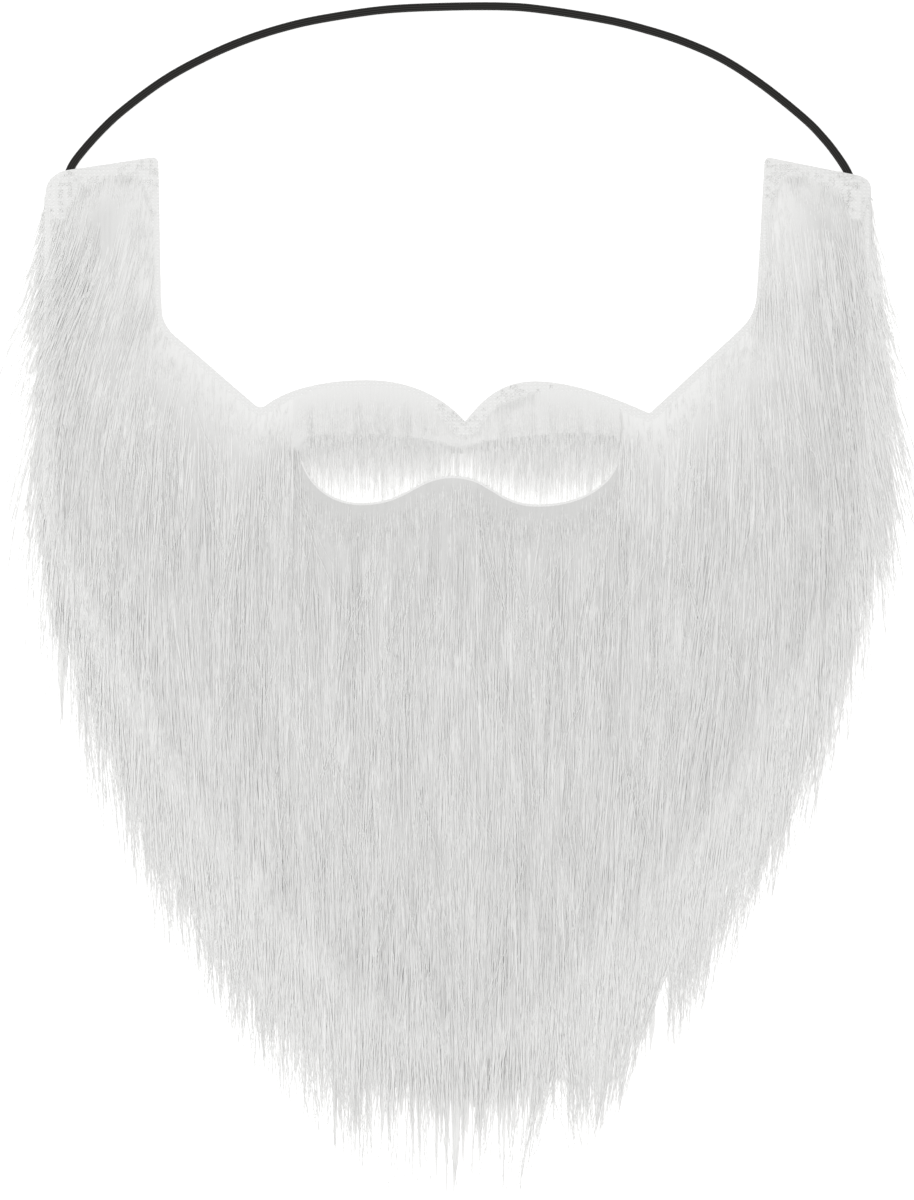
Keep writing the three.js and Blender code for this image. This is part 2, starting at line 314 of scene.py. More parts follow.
@dataclass(frozen=True)
class FeltedPile(Finish):
    """White acrylic staple, felted together under the brushed fibres.

    Strands too fine to tell apart run down the hair as faint streaks. Real ones are a tenth as wide and
    would not show, so these are drawn coarser.
    """

    name: str
    shade: str
    light: str
    # the paler colour where the pile is pale, partly painted light
    edge: str
    streak_mm: Row = (0.9, 26.0)
    streak_detail: float = 3.0
    bump_mm: float = 0.3
    bump_strength: float = 0.6
    roughness: float = 0.6
    ior: float = 1.49

    def surface(self, tree: bpy.types.NodeTree) -> dict[str, Any]:
        """Colours and raises the strands with long thin noise, and pales them where the pile is pale: painted
        light at the hem, and at the upper cut edge partly the knit's white and partly painted light.

        Args:
            tree: The material's tree.

        Returns:
            The shader's inputs by name.
        """
        across, along = [1 / (size * MM) for size in self.streak_mm]
        place = add_node(tree, "ShaderNodeTexCoord").outputs["Object"]
        combed = add_node(tree, "ShaderNodeMapping", {"Vector": place, "Scale": (across, along, along)})
        noise = {"Vector": combed.outputs[0], "Scale": 1.0, "Detail": self.streak_detail}
        strands = add_node(tree, "ShaderNodeTexNoise", noise)
        # the same noise also sets the colour: darker in the low streaks, paler on the high ones
        whites = {0: strands.outputs["Fac"], 6: linear(self.shade), 7: linear(self.light)}
        streaked = add_node(tree, "ShaderNodeMix", whites, data_type="RGBA")
        # paler where the pile is pale: partly painted light
        pale = add_node(tree, "ShaderNodeAttribute", attribute_name="pale")
        edges = {0: pale.outputs["Fac"], 6: streaked.outputs[2], 7: linear(self.edge)}
        colour = add_node(tree, "ShaderNodeMix", edges, data_type="RGBA")
        relief = {"Height": strands.outputs["Fac"], "Distance": self.bump_mm * MM}
        bump = add_node(tree, "ShaderNodeBump", {**relief, "Strength": self.bump_strength})
        return {"Base Color": colour.outputs[2], "IOR": self.ior, "Normal": bump.outputs[0]}


@dataclass(frozen=True)
class BrushedKnit(Finish):
    """White polyester warp knit with a brushed face.

    Columns of small loops show as pale dots between slightly greyer grooves: painted light on the loops and
    painted shade in the grooves.
    """

    name: str = "white_polyester_knit_brushed"
    # painted shade in the grooves and painted light on the loops
    shaded_groove: str = "#EEEEED"
    loop: str = "#FAFAF9"
    wale_mm: float = 1.5
    course_mm: float = 1.2
    unevenness: float = 0.6
    bump_mm: float = 0.25
    bump_strength: float = 0.7
    roughness: float = 0.85
    ior: float = 1.54

    def surface(self, tree: bpy.types.NodeTree) -> dict[str, Any]:
        """Colours and raises the face with crossed waves at the loops' pitch, painting light on the loops and
        shade in the grooves.

        Args:
            tree: The material's tree.

        Returns:
            The shader's inputs by name.
        """
        place = add_node(tree, "ShaderNodeTexCoord").outputs["Object"]
        waves = []
        for direction, pitch in (("X", self.wale_mm), ("Y", self.course_mm)):
            bands = {"Vector": place, "Scale": WAVE_LENGTH / (pitch * MM), "Distortion": self.unevenness}
            wave = add_node(tree, "ShaderNodeTexWave", bands, bands_direction=direction)
            waves.append(wave.outputs["Fac"])
        loops = add_node(tree, "ShaderNodeMath", {0: waves[0], 1: waves[1]}, operation="MULTIPLY")
        whites = {0: loops.outputs[0], 6: linear(self.shaded_groove), 7: linear(self.loop)}
        colour = add_node(tree, "ShaderNodeMix", whites, data_type="RGBA")
        relief = {"Height": loops.outputs[0], "Distance": self.bump_mm * MM}
        bump = add_node(tree, "ShaderNodeBump", {**relief, "Strength": self.bump_strength})
        return {"Base Color": colour.outputs[2], "IOR": self.ior, "Normal": bump.outputs[0]}


@dataclass(frozen=True)
class BraidedElastic(Finish):
    """Black polyester yarn braided flat over rubber threads.

    Lengthwise ribs show as charcoal lines with a dull shine, and the grooves between them stay black; the
    crests' paler colour is a painted highlight and the grooves' black partly painted shade.
    """

    name: str = "black_polyester_elastic_braided"
    # painted shade in the grooves and a painted highlight on the rib crests
    shaded_groove: str = "#040404"
    crest: str = "#3A3937"
    roughness: float = 0.7
    ior: float = 1.54
    shine: float = 0.15

    def surface(self, tree: bpy.types.NodeTree) -> dict[str, Any]:
        """Paints a highlight on a rib's crest, paler than its groove.

        Args:
            tree: The material's tree.

        Returns:
            The shader's inputs by name.
        """
        rib = add_node(tree, "ShaderNodeAttribute", attribute_name="rib")
        blacks = {0: rib.outputs["Fac"], 6: linear(self.shaded_groove), 7: linear(self.crest)}
        colour = add_node(tree, "ShaderNodeMix", blacks, data_type="RGBA")
        return {"Base Color": colour.outputs[2], "IOR": self.ior, "Specular IOR Level": self.shine}


@dataclass(frozen=True)
class PaleFloor(Finish):
    """Matt white studio board, which glows a little so that it stays white under the hair."""

    name: str = "white_studio_board_matt"
    colour: str = "#F4F4F4"
    roughness: float = 0.9
    glow: float = 0.5

    def surface(self, tree: bpy.types.NodeTree) -> dict[str, Any]:
        """Gives one colour to the board and to its glow."""
        colour = linear(self.colour)
        return {"Base Color": colour, "Emission Color": colour, "Emission Strength": self.glow}


@dataclass(frozen=True)
class Studio:
    """A pale floor, soft light from above and a long lens that looks straight down."""

    view_centre: Row = (0.0, 24.33)
    view_height: float = 400.0  # what the frame's long side shows
    sharp_height: float = 1.5  # the level where it shows just that
    lens_mm: float = 100.0
    sensor_mm: float = 36.0
    floor_size: float = 9000.0
    floor_drop: float = 0.1
    sky_colour: str = "#FFFFFF"
    sky_strength: float = 0.72
    key_place: tuple[float, float, float] = (-400.0, -100.0, 1750.0)
    key_size: float = 900.0
    key_watts: float = 9.0

    def build(self) -> None:
        """Makes the camera, the floor and the light."""
        self.add_camera()
        self.add_floor()
        self.add_light()

    def add_camera(self) -> None:
        """Looks straight down, with the photograph's frame at the height of the pile."""
        scene = bpy.context.scene
        data = bpy.data.cameras.new("camera")
        data.lens = self.lens_mm
        data.sensor_width = self.sensor_mm
        camera = bpy.data.objects.new("camera", data)
        distance = self.view_height * self.lens_mm / self.sensor_mm
        camera.location = Vector((*self.view_centre, self.sharp_height + distance)) * MM
        scene.collection.objects.link(camera)
        scene.camera = camera
        scene.view_settings.view_transform = "Standard"

    def add_floor(self) -> None:
        """Lays the floor just under the beard."""
        half = self.floor_size / 2 * MM
        mesh = bpy.data.meshes.new("floor")
        corners = [(-half, -half, 0), (half, -half, 0), (half, half, 0), (-half, half, 0)]
        mesh.from_pydata(corners, [], [(0, 1, 2, 3)])
        mesh.materials.append(PaleFloor().material())
        floor = bpy.data.objects.new("floor", mesh)
        floor.location.z = -self.floor_drop * MM
        bpy.context.scene.collection.objects.link(floor)

    def add_light(self) -> None:
        """Adds a white sky and one large soft lamp high on the left."""
        scene = bpy.context.scene
        world = bpy.data.worlds.new("studio")
        world.use_nodes = True
        sky = world.node_tree.nodes["Background"].inputs
        sky["Color"].default_value = linear(self.sky_colour)
        sky["Strength"].default_value = self.sky_strength
        scene.world = world
        data = bpy.data.lights.new("key", "AREA")
        data.energy = self.key_watts
        data.size = self.key_size * MM
        key = bpy.data.objects.new("key", data)
        key.location = Vector(self.key_place) * MM
        key.rotation_euler = (-key.location).to_track_quat("-Z", "Y").to_euler()
        scene.collection.objects.link(key)


@dataclass(frozen=True)
class LowerEdge:
    """A half superellipse below the chin's centre."""

    half_width: float
    drop: float
    power: float
    centre_y: float = 60.0

    def level(self, spots: np.ndarray) -> np.ndarray:
        """Gives each spot's distance ratio.

        Args:
            spots: Points, one to a row.

        Returns:
            For each spot, 1 on the edge and less inside it.
        """
        across = np.abs(spots[..., 0]) / self.half_width
        down = np.maximum(0, self.centre_y - spots[..., 1]) / self.drop
        return (across**self.power + down**self.power) ** (1 / self.power)

    def low(self, x: np.ndarray) -> np.ndarray:
        """Gives the y of the edge at each x."""
        across = np.minimum(1, np.abs(x) / self.half_width)
        return self.centre_y - self.drop * (1 - across**self.power) ** (1 / self.power)

    def points(self, steps: int) -> np.ndarray:
        """Follows the edge from right to left.

        Args:
            steps: How many straight stretches it is drawn with.

        Returns:
            The edge's points, one to a row.
        """
        angle = np.linspace(0, np.pi, steps + 1)
        x = self.half_width * np.sign(np.cos(angle)) * np.abs(np.cos(angle)) ** (2 / self.power)
        y = self.centre_y - self.drop * np.abs(np.sin(angle)) ** (2 / self.power)
        return np.stack([x, y], 1)


@dataclass(frozen=True)
class Corner:
    """A rounded corner of the cut, with the length that its round takes from each side."""

    x: float
    y: float
    radius: float


@dataclass(frozen=True)
class Curve:
    """One smooth stretch of the cut: two handles and the end."""

    handle_a: Row
    handle_b: Row
    end: Row

    def points(self, start: Row, steps: int) -> np.ndarray:
        """Follows the stretch.

        Args:
            start: Where it begins.
            steps: How many straight stretches it is drawn with.

        Returns:
            The points after the start, one to a row.
        """
        t = np.linspace(0, 1, steps + 1)[1:, None]
        corners = [np.array(p, float) for p in (start, self.handle_a, self.handle_b, self.end)]
        shares = [(1 - t) ** 3, 3 * t * (1 - t) ** 2, 3 * t**2 * (1 - t), t**3]
        return sum(share * corner for share, corner in zip(shares, corners))


@dataclass(frozen=True)
class BeardCut:
    """The cut of the cloth, seen from above, and the way the hair lies on it."""

    cloth: LowerEdge = LowerEdge(half_width=138.0, drop=171.0, power=1.5)
    hair: LowerEdge = LowerEdge(half_width=149.5, drop=232.0, power=1.44)
    felt: LowerEdge = LowerEdge(half_width=139.0, drop=198.0, power=1.44)
    crown: LowerEdge = LowerEdge(half_width=115.0, drop=125.0, power=1.3)  # the pile falls outside it
    fall_power: float = 1.5
    left_corners: tuple[Corner, ...] = (
        Corner(-137.3, 166.2, 7.0),
        Corner(-99.6, 172.3, 2.7),
        Corner(-98.6, 116.4, 6.0),
        Corner(-65.6, 87.9, 2.4),
    )
    right_corners: tuple[Corner, ...] = (
        Corner(64.2, 86.6, 0.8),
        Corner(99.6, 119.4, 7.0),
        Corner(102.6, 172.2, 2.2),
        Corner(138.1, 164.9, 4.0),
    )
    humps: tuple[Curve, ...] = (
        Curve((-57, 94.5), (-45, 97.7), (-30, 97.7)),
        Curve((-16, 97.7), (-5, 92.5), (2.7, 84)),
        Curve((8, 90.5), (14, 97.3), (26, 97.3)),
        Curve((38, 97.3), (52, 92), (62.6, 87.3)),
    )
    mouth_start: Row = (-52.0, 72.5)
    mouth_curves: tuple[Curve, ...] = (
        Curve((-50, 64), (-43, 56.7), (-32, 56.7)),
        Curve((-16, 56.7), (-14, 65.8), (-1.3, 65.8)),
        Curve((11, 65.8), (13, 56.2), (27, 56.2)),
        Curve((43, 56.2), (53, 64), (54, 74)),
        Curve((52, 79), (18, 74.5), (1, 73)),
        Curve((-16, 74.5), (-50, 79), (-52, 72.5)),
    )
    moustache_field: tuple[Row, ...] = (
        (-56, 104),
        (-51.5, 74),
        (-51, 66.6),
        (53, 66.6),
        (53.5, 74),
        (57, 104),
    )
    bare_places: tuple[Row, ...] = ((3, 84), (17, 93), (-125, 166), (-107, 169), (108, 169), (128, 165))
    bare_reach: float = 10.0
    lower_curves: int = 4  # how many of the mouth's curves are its lower rim
    curve_steps: int = 14
    round_steps: int = 7
    edge_steps: int = 120
    flare: float = 13.0  # how far the hair turns out at the sides
    flare_power: float = 3.0
    flare_level: float = 25.0  # below this y it turns in instead
    flare_span: float = 70.0
    sweep: float = 6.0  # how far the right side leans to the left
    sweep_from: float = 20.0
    sweep_to: float = 100.0
    swirl: float = 13.0  # how far a place on the left sideburn leans to the left
    swirl_place: Row = (-122.0, 128.0)
    swirl_size: float = 26.0

    def rounded(self, before: Row, corners: tuple[Corner, ...], after: Row) -> np.ndarray:
        """Follows straight stretches with rounded corners.

        Args:
            before: A point before the first corner.
            corners: The corners in order.
            after: A point after the last corner.

        Returns:
            The points of the rounds, one to a row.
        """
        places = [np.array(p, float) for p in (before, *[(c.x, c.y) for c in corners], after)]
        rounds = []
        for back, here, ahead, corner in zip(places, places[1:], places[2:], corners):
            start = here + (back - here) / np.linalg.norm(back - here) * corner.radius
            end = here + (ahead - here) / np.linalg.norm(ahead - here) * corner.radius
            t = np.linspace(0, 1, self.round_steps)[:, None]
            rounds.append((1 - t) ** 2 * start + 2 * t * (1 - t) * here + t**2 * end)
        return np.concatenate(rounds)

    def curved(self, start: Row, curves: tuple[Curve, ...]) -> np.ndarray:
        """Follows smooth stretches one after the other.

        Args:
            start: Where the first begins.
            curves: The stretches in order.

        Returns:
            The points after the start, one to a row.
        """
        starts = [start, *[curve.end for curve in curves]]
        return np.concatenate([c.points(s, self.curve_steps) for s, c in zip(starts, curves)])

    def top_edge(self) -> np.ndarray:
        """Follows the upper cut edge from the left tab over the moustache to the right tab.

        Returns:
            The edge's points, one to a row.
        """
        side = (self.cloth.half_width, self.cloth.centre_y)
        left = self.rounded((-side[0], side[1]), self.left_corners, self.humps[0].handle_a)
        right = self.rounded(self.humps[-1].end, self.right_corners, side)
        return np.concatenate([left, self.curved(tuple(left[-1]), self.humps), right])

    def outline(self) -> np.ndarray:
        """Follows the whole cut, the upper edge first."""
        return np.concatenate([self.top_edge(), self.cloth.points(self.edge_steps)])

    def mouth(self) -> np.ndarray:
        """Follows the mouth hole."""
        return self.curved(self.mouth_start, self.mouth_curves)

    def chin_curve(self) -> np.ndarray:
        """Follows the mouth hole's lower rim from just after its left end."""
        return self.curved(self.mouth_start, self.mouth_curves[: self.lower_curves])

    def chin_rim(self) -> np.ndarray:
        """Follows the mouth hole's whole lower rim."""
        return np.vstack([self.mouth_start, self.chin_curve()])

    def lower_rim(self, x: np.ndarray) -> np.ndarray:
        """Gives the y of the mouth hole's lower rim at each x."""
        return np.interp(x, *self.chin_curve().T)

    def mouth_end(self) -> Row:
        """Gives the right end of the mouth hole."""
        return self.mouth_curves[self.lower_curves - 1].end

    def upper_rim(self, x: np.ndarray) -> np.ndarray:
        """Gives the y of the mouth hole's upper rim at each x."""
        rim = self.curved(self.mouth_end(), self.mouth_curves[self.lower_curves :])
        return np.interp(x, *rim[::-1].T)

    def top(self, x: np.ndarray) -> np.ndarray:
        """Gives the y of the upper cut edge at each x."""
        edge = self.top_edge()
        return np.interp(x, np.maximum.accumulate(edge[:, 0]), edge[:, 1])

    def grid(self, pitch: Row) -> np.ndarray:
        """Spreads an even grid over the cut's box.

        Args:
            pitch: The steps across and up.

        Returns:
            The grid's points, one to a row.
        """
        outline = self.outline()
        axes = [np.arange(*span) for span in zip(outline.min(0), outline.max(0), pitch)]
        return np.stack(np.meshgrid(*axes), -1).reshape(-1, 2)

    def on_cloth(self, spots: np.ndarray) -> np.ndarray:
        """Tells which spots lie on the cloth."""
        return inside(spots, self.outline()) & ~inside(spots, self.mouth())

    def in_moustache(self, spots: np.ndarray) -> np.ndarray:
        """Tells which spots lie in the moustache's field."""
        return inside(spots, np.array(self.moustache_field, float))

    def from_rim(self, spots: np.ndarray) -> np.ndarray:
        """Gives how far each spot lies from the upper cut edge or the mouth hole."""
        return np.minimum(distance_to(spots, self.top_edge()), distance_to(spots, self.mouth()))

    def bare(self, spots: np.ndarray) -> np.ndarray:
        """Gives how bare the cloth is: 1 at the places where its loops show, less away from them."""
        apart = np.min([np.linalg.norm(spots - place, axis=-1) for place in self.bare_places], 0)
        return np.exp(-((apart / self.bare_reach) ** 2))

    def fallen(self, spots: np.ndarray) -> np.ndarray:
        """Gives how far the hair has fallen to the floor.

        Args:
            spots: Points, one to a row.

        Returns:
            For each spot, from 0 over the crown to 1 at the felt's edge.
        """
        past = np.maximum(0, self.crown.level(spots) - 1)
        left = np.maximum(0, 1 - self.felt.level(spots))
        return (past / np.maximum(past + left, TINY)) ** self.fall_power

    def lie(self, spots: np.ndarray) -> np.ndarray:
        """Gives the way the hair lies.

        Args:
            spots: Points, one to a row.

        Returns:
            The angle from straight down at each spot, positive to the right.
        """
        x, y = spots[..., 0], spots[..., 1]
        out = (np.abs(x) / self.cloth.half_width) ** self.flare_power
        level = np.clip((y - self.flare_level) / self.flare_span, -1, 1)
        swept = self.sweep * ease(x, self.sweep_from, self.sweep_to) * (1 - out)
        apart = np.linalg.norm(spots - self.swirl_place, axis=-1) / self.swirl_size
        return np.sign(x) * self.flare * out * level - swept - self.swirl * np.exp(-(apart**2))

    def tab_side(self, y: np.ndarray, right: bool) -> np.ndarray:
        """Gives the x of a tab's inner edge at each height in the cut."""
        knee, top = self.right_corners[1:3] if right else self.left_corners[2:0:-1]
        return between(knee.x, top.x, (y - knee.y) / (top.y - knee.y))


class Coat(Enum):
    """The coats that make up the pile."""

    GUARD = "guard"
    FRINGE = "fringe"
    NAP = "nap"
    STRAY = "stray"


class Pattern(Enum):
    """The smooth patterns that each pile draws for itself, numbered by their row of phases."""

    LIE = 0
    STAND = 1


@dataclass(frozen=True)
class CoatSizes:
    """How one coat grows: its clumps, the fibres in them and the way they lie.

    A pair is the lowest and the highest value of an even spread, except that a ring's is the level where
    it begins, low in the beard and at the sides. Fibres are drawn several times as wide as real ones,
    which would not show.
    """

    pitch: float  # from clump to clump
    fibres: int  # in each clump
    spread: float  # of a clump's roots
    length: Row
    stand: Row  # over the felted mass
    width: Row
    gather: Row  # how far a clump draws together at its tip
    tint: Row  # from 0, the finish's shade, to 1, its light
    stations: tuple[float, ...]  # shares of the length where a fibre has a ring
    shortest: float = 0.6  # share of its clump's length
    sink: float = 0.3  # how deep a fibre's two ends lie in the felted mass
    clump_sway: float = 1.4
    fibre_sway: float = 0.9
    bend: float = 3.0
    wave: float = 0.3
    band: float = math.inf  # how far from the upper edge and the mouth the coat still grows
    ring: Row | None = None
    early_spread: float = 0.3
    tip_shading: float = 0.35  # how far the tip takes the tip's colour, painted light or, on the thin finish, painted shade
    tip_power: float = 1.0
    hem_shading: float = 0.9  # how far the thin hem takes it, as painted light


@dataclass(frozen=True)
class FeltSizes:
    """The felted mass that fills the pile under its longest fibres.

    Its hem ends in tails, whose mean length is the ragged value.
    """

    top: float
    edge_gap: float  # how far from the upper cut edge it starts to rise
    edge_run: float  # how slowly it rises there
    bare_gap: float = 5.0  # how much farther off it starts at a bare place
    rim_gap: float = 0.0  # the same at the mouth hole's lower rim
    rim_run: float = 0.0  # 0 for a pile that doesn't meet that rim
    taper: float = 0.0  # how far above its lower end it starts to thin
    ragged: float = 0.0
    longest_tail: float = 44.0
    tail_rows: int = 0
    body_rows: int = 2
    body_top: float = 0.0  # the y up to which the body rows go
    wall: float = 0.4
    margin: float = 0.8  # to the cut
    column: float = 0.8
    row: float = 2.0
    streak_slope: float = 0.012
    streak_widths: tuple[float, ...] = (1.9, 2.6, 3.7, 5.3, 8.1)
    streak_length: float = 24.0
    streak_sway: float = 2.0


@dataclass
class Fibres:
    """Middle lines of many fibres, with what the mesh of each one needs."""

    rings: np.ndarray
    widths: np.ndarray
    tints: np.ndarray
    rolls: np.ndarray
    # painted light or shade at each ring, towards the tip and at the hem
    painted_shading: np.ndarray
    stations: tuple[float, ...]
    sides: int = 3
    flatness: float = 0.25  # share of an even-sided section's height
    root_width: float = 0.7  # share of the full width
    swelling: float = 2.0  # how fast a fibre gets that width
    thinning: float = 0.55  # share of it that is lost towards the tip
    tint_steps: int = 24  # columns of the OFBake UV map, one for each tint
    uv_margin: float = 0.2

    def picked(self, chosen: np.ndarray) -> "Fibres":
        """Gives the chosen fibres alone."""
        values = (self.rings, self.widths, self.tints, self.rolls, self.painted_shading)
        return Fibres(*[value[chosen] for value in values], self.stations)

    def swell(self) -> np.ndarray:
        """Gives the share of the full width at each ring before the tip."""
        t = np.array(self.stations[:-1])
        return np.minimum(1, self.root_width + self.swelling * t) * (1 - self.thinning * t**2)

    def points(self) -> np.ndarray:
        """Sets a small flat triangle, ridge up, round each ring's middle, and ends in the tip.

        Returns:
            For each fibre, the points of its skin.
        """
        rings = self.rings
        along = np.gradient(rings, axis=1)
        along /= np.linalg.norm(along, axis=2, keepdims=True)
        side = np.cross(along, (0, 0, 1.0))
        side /= np.linalg.norm(side, axis=2, keepdims=True)
        up = np.cross(side, along)
        turn = np.pi / 2 + self.rolls[:, None, None] + np.arange(self.sides) * 2 * np.pi / self.sides
        half = self.widths[:, None, None] / 2 * self.swell()[None, :, None]
        across = (half * np.cos(turn))[..., None] * side[:, :-1, None]
        raised = (half * np.sin(turn) * self.flatness)[..., None] * up[:, :-1, None]
        bodies = (rings[:, :-1, None] + across + raised).reshape(len(rings), -1, 3)
        return np.concatenate([bodies, rings[:, -1:]], 1)

    def faces(self) -> tuple[np.ndarray, np.ndarray]:
        """Joins one fibre's points to a closed skin.

        Returns:
            Triangles as rows of point numbers, and the place of each corner across a fibre's skin.
        """
        rows, across = [], []
        last = len(self.stations) - 2
        for s in range(self.sides):
            n = (s + 1) % self.sides
            for j in range(last):
                a, b = j * self.sides + s, j * self.sides + n
                c, d = b + self.sides, a + self.sides
                rows += [(a, b, c), (a, c, d)]
                across += [(0, 1, 1), (0, 1, 0)]
            rows.append((last * self.sides + s, last * self.sides + n, (last + 1) * self.sides))
            across.append((0, 1, 0.5))
        rows.append((2, 1, 0))
        across.append((1, 0.5, 0))
        return np.array(rows), np.array(across)

    def build(self, name: str, material: bpy.types.Material) -> bpy.types.Object:
        """Makes the fibres as one joined mesh.

        Args:
            name: The piece's name.
            material: The fibres' finish, which reads each one's tint and its painted light or shade.

        Returns:
            The new object.
        """
        points = self.points()
        count, size = points.shape[:2]
        one, across = self.faces()
        faces = repeated(one, count, size)
        piece = mesh_piece(name, points.reshape(-1, 3), faces, material, smooth=False)
        step = np.round(np.clip(self.tints, 0, 1) * (self.tint_steps - 1))
        painted_shading = np.concatenate([np.repeat(self.painted_shading[:, :-1], self.sides, 1), self.painted_shading[:, -1:]], 1)
        add_values(piece, "tint", np.repeat(step / (self.tint_steps - 1), size))
        add_values(piece, "painted_shading", painted_shading)
        columns = step[:, None, None] + between(self.uv_margin, 1 - self.uv_margin, across)[None]
        rows = between(self.uv_margin, self.tint_steps - self.uv_margin, painted_shading[:, one])
        spots = np.stack([columns, rows], -1) / self.tint_steps
        piece.data.uv_layers.new(name="OFBake").data.foreach_set("uv", spots.astype(np.float32).ravel())
        return piece


@dataclass
class Pile:
    """Hair that grows from a field of the cloth."""

    cut: BeardCut
    backing: "KnitBacking"
    finish: bpy.types.Material
    thin_finish: bpy.types.Material
    felt_finish: bpy.types.Material
    seed: int
    node: str
    half_width: float
    felt_sizes: FeltSizes
    root_height: float = 1.3
    held_height: float = 1.7  # the felted mass falls no lower over the cloth
    held_run: Row = (0.97, 1.0)  # the cloth's levels where that ends
    least_height: float = 0.1
    arch_power: float = 0.8  # below 1, a fibre stands highest nearer to its root
    lie_noise: float = 2.4
    relief: float = 0.15
    stand_spread: float = 0.1
    tint_spread: float = 0.1
    roll_spread: float = 12.0
    # how far from the upper cut edge, and how strongly, the pile's colour takes its paleness: partly the
    # knit's white under the short pile, partly painted light
    pale_run: float = 26.0
    pale_tint: float = 0.6
    calm: float = 0.6  # how much lower fibres stand where the pile is palest
    gather_power: float = 1.2
    wave_run: float = 7.0
    floor_heights: Row = (0.1, 0.7)
    ring_top: float = 156.0
    rarest: float = 1e-3  # ends a long tail
    broad_streak: Row = (6.1, 34.0)  # across the hair and down it
    fine_streak: Row = (2.7, 21.0)

    def __post_init__(self) -> None:
        """Starts the pile's own random numbers with four phases for each pattern."""
        self.random = np.random.default_rng(self.seed)
        self.waves = self.random.uniform(0, 2 * np.pi, (len(Pattern), 4))

    def noise(self, spots: np.ndarray, kind: Pattern) -> np.ndarray:
        """Gives a smooth spread from -1 to 1 that changes fast across the hair and slowly down it.

        Args:
            spots: Points, one to a row.
            kind: Which of the pile's own patterns to read.

        Returns:
            One value for each spot.
        """
        x, y = spots[..., 0], spots[..., 1]
        a, b, c, d = self.waves[kind.value]
        broad = np.sin(x / self.broad_streak[0] + np.sin(y / self.broad_streak[1] + a) + b)
        fine = np.sin(x / self.fine_streak[0] + np.sin(y / self.fine_streak[1] + c) + d)
        return (broad + fine) / 2

    def clumps(self, sizes: CoatSizes) -> np.ndarray:
        """Spreads the roots of a coat's clumps evenly over this pile's field.

        Args:
            sizes: How the coat grows.

        Returns:
            The clumps' places, one to a row.
        """
        spots = self.cut.grid((sizes.pitch, sizes.pitch))
        spots += self.random.uniform(-sizes.pitch / 2, sizes.pitch / 2, spots.shape)
        return spots[self.takes(spots, sizes)]

    def takes(self, spots: np.ndarray, sizes: CoatSizes) -> np.ndarray:
        """Tells which spots may root a coat: a ring near the felt's edge, or a band of the field.

        Args:
            spots: Points, one to a row.
            sizes: How the coat grows.

        Returns:
            True for each spot that may.
        """
        if sizes.ring:
            level = self.cut.felt.level(spots)
            start = between(*sizes.ring, ease(spots[:, 1], 0, self.cut.felt.centre_y))
            return (level > start) & (level < 1) & (spots[:, 1] < self.ring_top)
        return self.grows(spots) & (self.cut.from_rim(spots) < sizes.band)

    def height(self, spots: np.ndarray) -> np.ndarray:
        """Gives the felted mass's height: it comes out of the cloth, makes a plain and falls at the hem.

        Args:
            spots: Places seen from above, one to a row.

        Returns:
            One height for each spot.
        """
        sizes = self.felt_sizes
        gap = sizes.edge_gap + sizes.bare_gap * self.cut.bare(spots)
        edge = np.maximum(0, distance_to(spots, self.cut.top_edge()) - gap)
        rise = 1 - np.exp(-edge / sizes.edge_run)
        if sizes.rim_run:
            rim = np.maximum(0, distance_to(spots, self.cut.chin_rim()) - sizes.rim_gap)
            rise = rise * (1 - np.exp(-rim / sizes.rim_run))
        plain = between(self.root_height, sizes.top, rise) + self.backing.lifted(spots)
        held = np.minimum(plain, self.held_height) * (1 - ease(self.cut.cloth.level(spots), *self.held_run))
        return np.maximum(plain * (1 - self.cut.fallen(spots)), held)

    def pale(self, spots: np.ndarray) -> np.ndarray:
        """Gives how pale the pile is: 1 at the upper cut edge and the bare places, less away from them;
        partly the knit's white under the short pile, partly painted light where less self-shadow falls.
        """
        edge = 1 - ease(distance_to(spots, self.cut.top_edge()), 0, self.pale_run)
        return np.maximum(edge, self.cut.bare(spots))

    def streaks(self, spots: np.ndarray) -> np.ndarray:
        """Gives the felted mass's combed relief.

        Args:
            spots: Points, one to a row.

        Returns:
            What each spot's height gains.
        """
        sizes = self.felt_sizes
        phases = np.random.default_rng(self.seed).uniform(0, 2 * np.pi, (len(sizes.streak_widths), 2))
        relief = np.zeros(len(spots))
        for width, (first, second) in zip(sizes.streak_widths, phases):
            sway = sizes.streak_sway * np.sin(spots[:, 1] / sizes.streak_length + second)
            relief += sizes.streak_slope * width * np.sin(2 * np.pi * spots[:, 0] / width + sway + first)
        return relief

